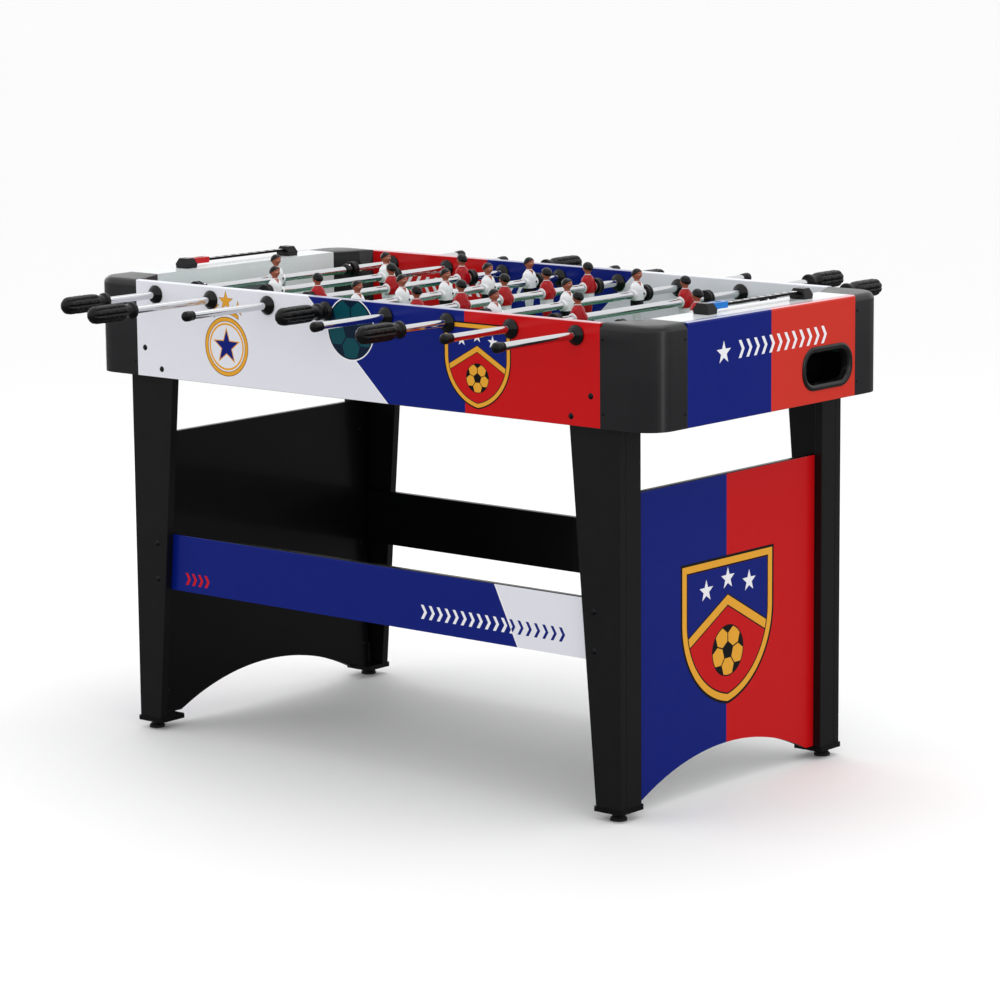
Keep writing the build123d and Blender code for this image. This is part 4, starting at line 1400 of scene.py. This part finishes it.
# ---------------------------------------------------------------- the whole table
@dataclass
class Boards:
    """Finishes of the boards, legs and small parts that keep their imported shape, and the moulded trim."""

    def dress(self) -> None:
        """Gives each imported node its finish, and builds the corner caps and outlet rims."""
        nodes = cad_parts
        black = Moulded("black_laminate", tint(15, 15, 17), 0.32, 0.0016, 0.00003, 0.05, 0.3, (1, 1, 6)).make()
        plastic = Moulded("black_plastic", tint(7, 7, 9), 0.26, 0.0008, 0.00003, 0.0, 0.3, specular=0.24).make()
        cap = Moulded("cap_plastic", tint(13, 13, 17), 0.36, 0.0012, 0.00003, 0.1, 0.3, specular=0.4).make()
        rim = Moulded("rim_plastic", tint(22, 22, 22), 0.22, 0.0012, 0.00002, 0.2, 0.3).make()
        white = Moulded("white_laminate", tint(226, 230, 232), 0.26, 0.004, 0.00003, 0.4, 0.03).make()
        rubber = Moulded("foot_rubber", tint(24, 24, 25), 0.55, 0.001, 0.00005).make()
        steel = BareMetal("black_oxide_steel", tint(44, 44, 47), 0.36).make()
        red = Moulded("red_plastic", tint(190, 24, 30), 0.25, 0.003, 0.00002, 0.3, 0.1).make()
        blue = Moulded("blue_plastic", tint(30, 120, 205), 0.25, 0.003, 0.00002, 0.3, 0.1).make()
        low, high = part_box("playfield")
        field_paint = FieldPrint(high.x - 12 * MM, high.y - 3 * MM).make()
        plans = {
            "inner_end_walls": white, "end_top_boards": white, "playfield": field_paint,
            "ball_return_trays": plastic, "foot_plates": plastic,
            "scorer_racks": plastic, "screws_and_bolts": steel,
            "left_scorer_marker": red, "right_scorer_marker": blue,
        }
        for side in Side:
            name = side.name.lower()
            plans[f"{name}_side_panel"] = SidePrint().make(side.value)
            face = max(abs(c.y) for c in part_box(f"{name}_stretcher"))
            plans[f"{name}_stretcher"] = StretcherPrint().make(side.value, face)
            for end in End:
                plans[f"{name}_{end.name.lower()}_leg"] = black
                plans[f"{name}_{end.name.lower()}_leveller"] = rubber
        for end in End:
            name = end.name.lower()
            plans[f"{name}_end_panel"] = EndPrint().make(end.value)
            face = max(abs(c.x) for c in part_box(f"{name}_end_support"))
            plans[f"{name}_end_support"] = SupportPrint().make(end.value, face)
        for name, material in plans.items():
            self.cover(nodes[name], material)
            log.info("dressed %s with %s", name, material.name)
        CornerCaps().build(cap)
        OutletRims().build(rim)
        log.info("built the corner caps and outlet rims")

    def cover(self, node: bpy.types.Object, material: bpy.types.Material) -> None:
        """Puts one finish in all of a node's material slots."""
        for slot in node.material_slots:
            slot.material = material


SOFT_BOXES = (
    # name, place, width, height, power in watts
    ("over", (0.3, 0.5, 3.2), 2.6, 2.0, 22.0), ("front", (-2.5, -3.2, 0.95), 1.6, 1.7, 11.0),
    ("right", (3.3, -0.1, 0.75), 0.55, 1.5, 7.0), ("left", (-3.3, 1.4, 0.9), 0.9, 1.6, 8.0))


@dataclass
class Studio:
    """Pale floor, soft white light and the camera."""

    floor_seen: float = 0.97
    floor_thrown: float = 0.48
    floor_mirrored: float = 0.13
    floor_half: float = 60.0
    camera_place: tuple[float, float, float] = (3.99712, -4.64527, 1.47293)
    yaw: float = 40.40736
    pitch: float = -9.78555
    roll: float = -0.51417
    focal: float = 3681.987

    def build(self) -> None:
        """Makes the stage."""
        self.floor()
        self.sky()
        self.lamps()
        self.camera()

    def floor(self) -> None:
        """A wide white floor that throws less light back at the table's sides than it shows."""
        graph = Graph("studio_floor")
        path = graph.node("ShaderNodeLightPath")
        thrown = graph.mix(path.outputs["Is Camera Ray"], (self.floor_thrown,) * 3, (self.floor_seen,) * 3)
        colour = graph.mix(path.outputs["Is Glossy Ray"], thrown, (self.floor_mirrored,) * 3)
        mesh = bpy.data.meshes.new("studio_floor")
        half = self.floor_half
        corners = [(-half, -half, 0), (half, -half, 0), (half, half, 0), (-half, half, 0)]
        mesh.from_pydata(corners, [], [(0, 1, 2, 3)])
        mesh.materials.append(graph.finish(base_color=colour, roughness=0.7))
        made = bpy.data.objects.new("studio_floor", mesh)
        bpy.context.scene.collection.objects.link(made)

    def sky(self) -> None:
        """An even white surround."""
        world = bpy.data.worlds.new("studio_sky")
        bpy.context.scene.world = world
        world.use_nodes = True
        shade = world.node_tree.nodes["Background"]
        shade.inputs[0].default_value = (1.0, 1.0, 1.0, 1.0)
        shade.inputs[1].default_value = 1.0

    def lamps(self) -> None:
        """Soft boxes: a wide one overhead, a broad one before the front, and a tall one beyond each end."""
        for name, place, wide, tall, power in SOFT_BOXES:
            data = bpy.data.lights.new(f"soft_{name}", "AREA")
            data.shape, data.size, data.size_y, data.energy = "RECTANGLE", wide, tall, power
            made = bpy.data.objects.new(f"soft_{name}", data)
            made.location = place
            aim = Vector((0, 0, place[2] if place[2] < 2 else 0.6)) - Vector(place)
            made.rotation_euler = aim.to_track_quat("-Z", "Y").to_euler()
            made.visible_camera = False
            made.visible_glossy = name != "front"
            bpy.context.scene.collection.objects.link(made)

    def camera(self) -> None:
        """The camera: looking along +Y, pitched, turned about Z and rolled about its own axis."""
        data = bpy.data.cameras.new("camera")
        data.sensor_width = 36.0
        data.lens = self.focal / 1000 * 36.0
        data.clip_end = 200.0
        made = bpy.data.objects.new("camera", data)
        turn = Matrix.Rotation(math.radians(self.yaw), 4, "Z")
        turn = turn @ Matrix.Rotation(math.radians(90 + self.pitch), 4, "X")
        turn = turn @ Matrix.Rotation(math.radians(self.roll), 4, "Z")
        made.matrix_world = Matrix.Translation(self.camera_place) @ turn
        bpy.context.scene.collection.objects.link(made)
        bpy.context.scene.camera = made
        bpy.context.scene.view_settings.view_transform = "Standard"


ROD_PLANS = (
    # players, spacing, shift, handle's side, where the handle starts and where the plain end stops
    RodPlan(1, 0.0, -10.8, -1, 420.0, 491.0), RodPlan(2, 280.9, -9.6, -1, 484.0, 459.0),
    RodPlan(3, 183.8, 0.0, 1, 410.0, 500.0), RodPlan(5, 109.7, -9.2, -1, 320.0, 458.0),
    RodPlan(5, 109.7, -10.3, 1, 320.0, 478.0), RodPlan(3, 184.4, -6.2, -1, 415.0, 494.0),
    RodPlan(2, 279.6, 0.7, 1, 484.0, 468.0), RodPlan(1, 0.0, 1.5, 1, 410.0, 500.0))


def main() -> None:
    """Builds and dresses the table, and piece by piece."""
    logging.basicConfig(level=logging.INFO, format="%(message)s")
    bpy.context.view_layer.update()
    Boards().dress()
    steel = BareMetal("plated_steel", (0.70, 0.71, 0.73), 0.09).make()
    grip = Moulded("grip_rubber", tint(6, 6, 7), 0.33, 0.0007, 0.00004).make()
    bumper = Moulded("bumper_rubber", tint(5, 5, 6), 0.36, 0.0009, 0.00004).make()
    bush = Moulded("bush_plastic", tint(5, 5, 6), 0.2, 0.002, 0.00002, 0.2).make()
    screw = BareMetal("screw_steel", tint(58, 58, 62), 0.3).make()
    bright = BareMetal("bright_screw_steel", (0.86, 0.86, 0.87), 0.2).make()
    paint = PlayerPaint()
    head = paint.head()
    kits = {-1: (Team.WHITE, paint.kit(Team.WHITE)), 1: (Team.RED, paint.kit(Team.RED))}
    rods = [RodSet(number + 1, plan) for number, plan in enumerate(ROD_PLANS)]
    player = Player()
    for rod in rods:
        team, kit = kits[rod.plan.handle_side]
        rod.tube(steel, bush, bright)
        rod.team(player, [kit, head, screw], f"{team.name.lower()}_team")
        rod.handle(grip)
        rod.bumpers(bumper)
        log.info("built rod %d: %d %s players", rod.number, rod.plan.players, team.name.lower())
    Bushes().build(rods, bush)
    log.info("built the rod bushes")
    ScoreNumbers().build(Moulded("number_white", tint(235, 236, 238), 0.4, 0.002, 0.00002, 0.0, 0.02).make())
    log.info("built the score numbers")
    Studio().build()


if __name__ == "__main__":
    main()
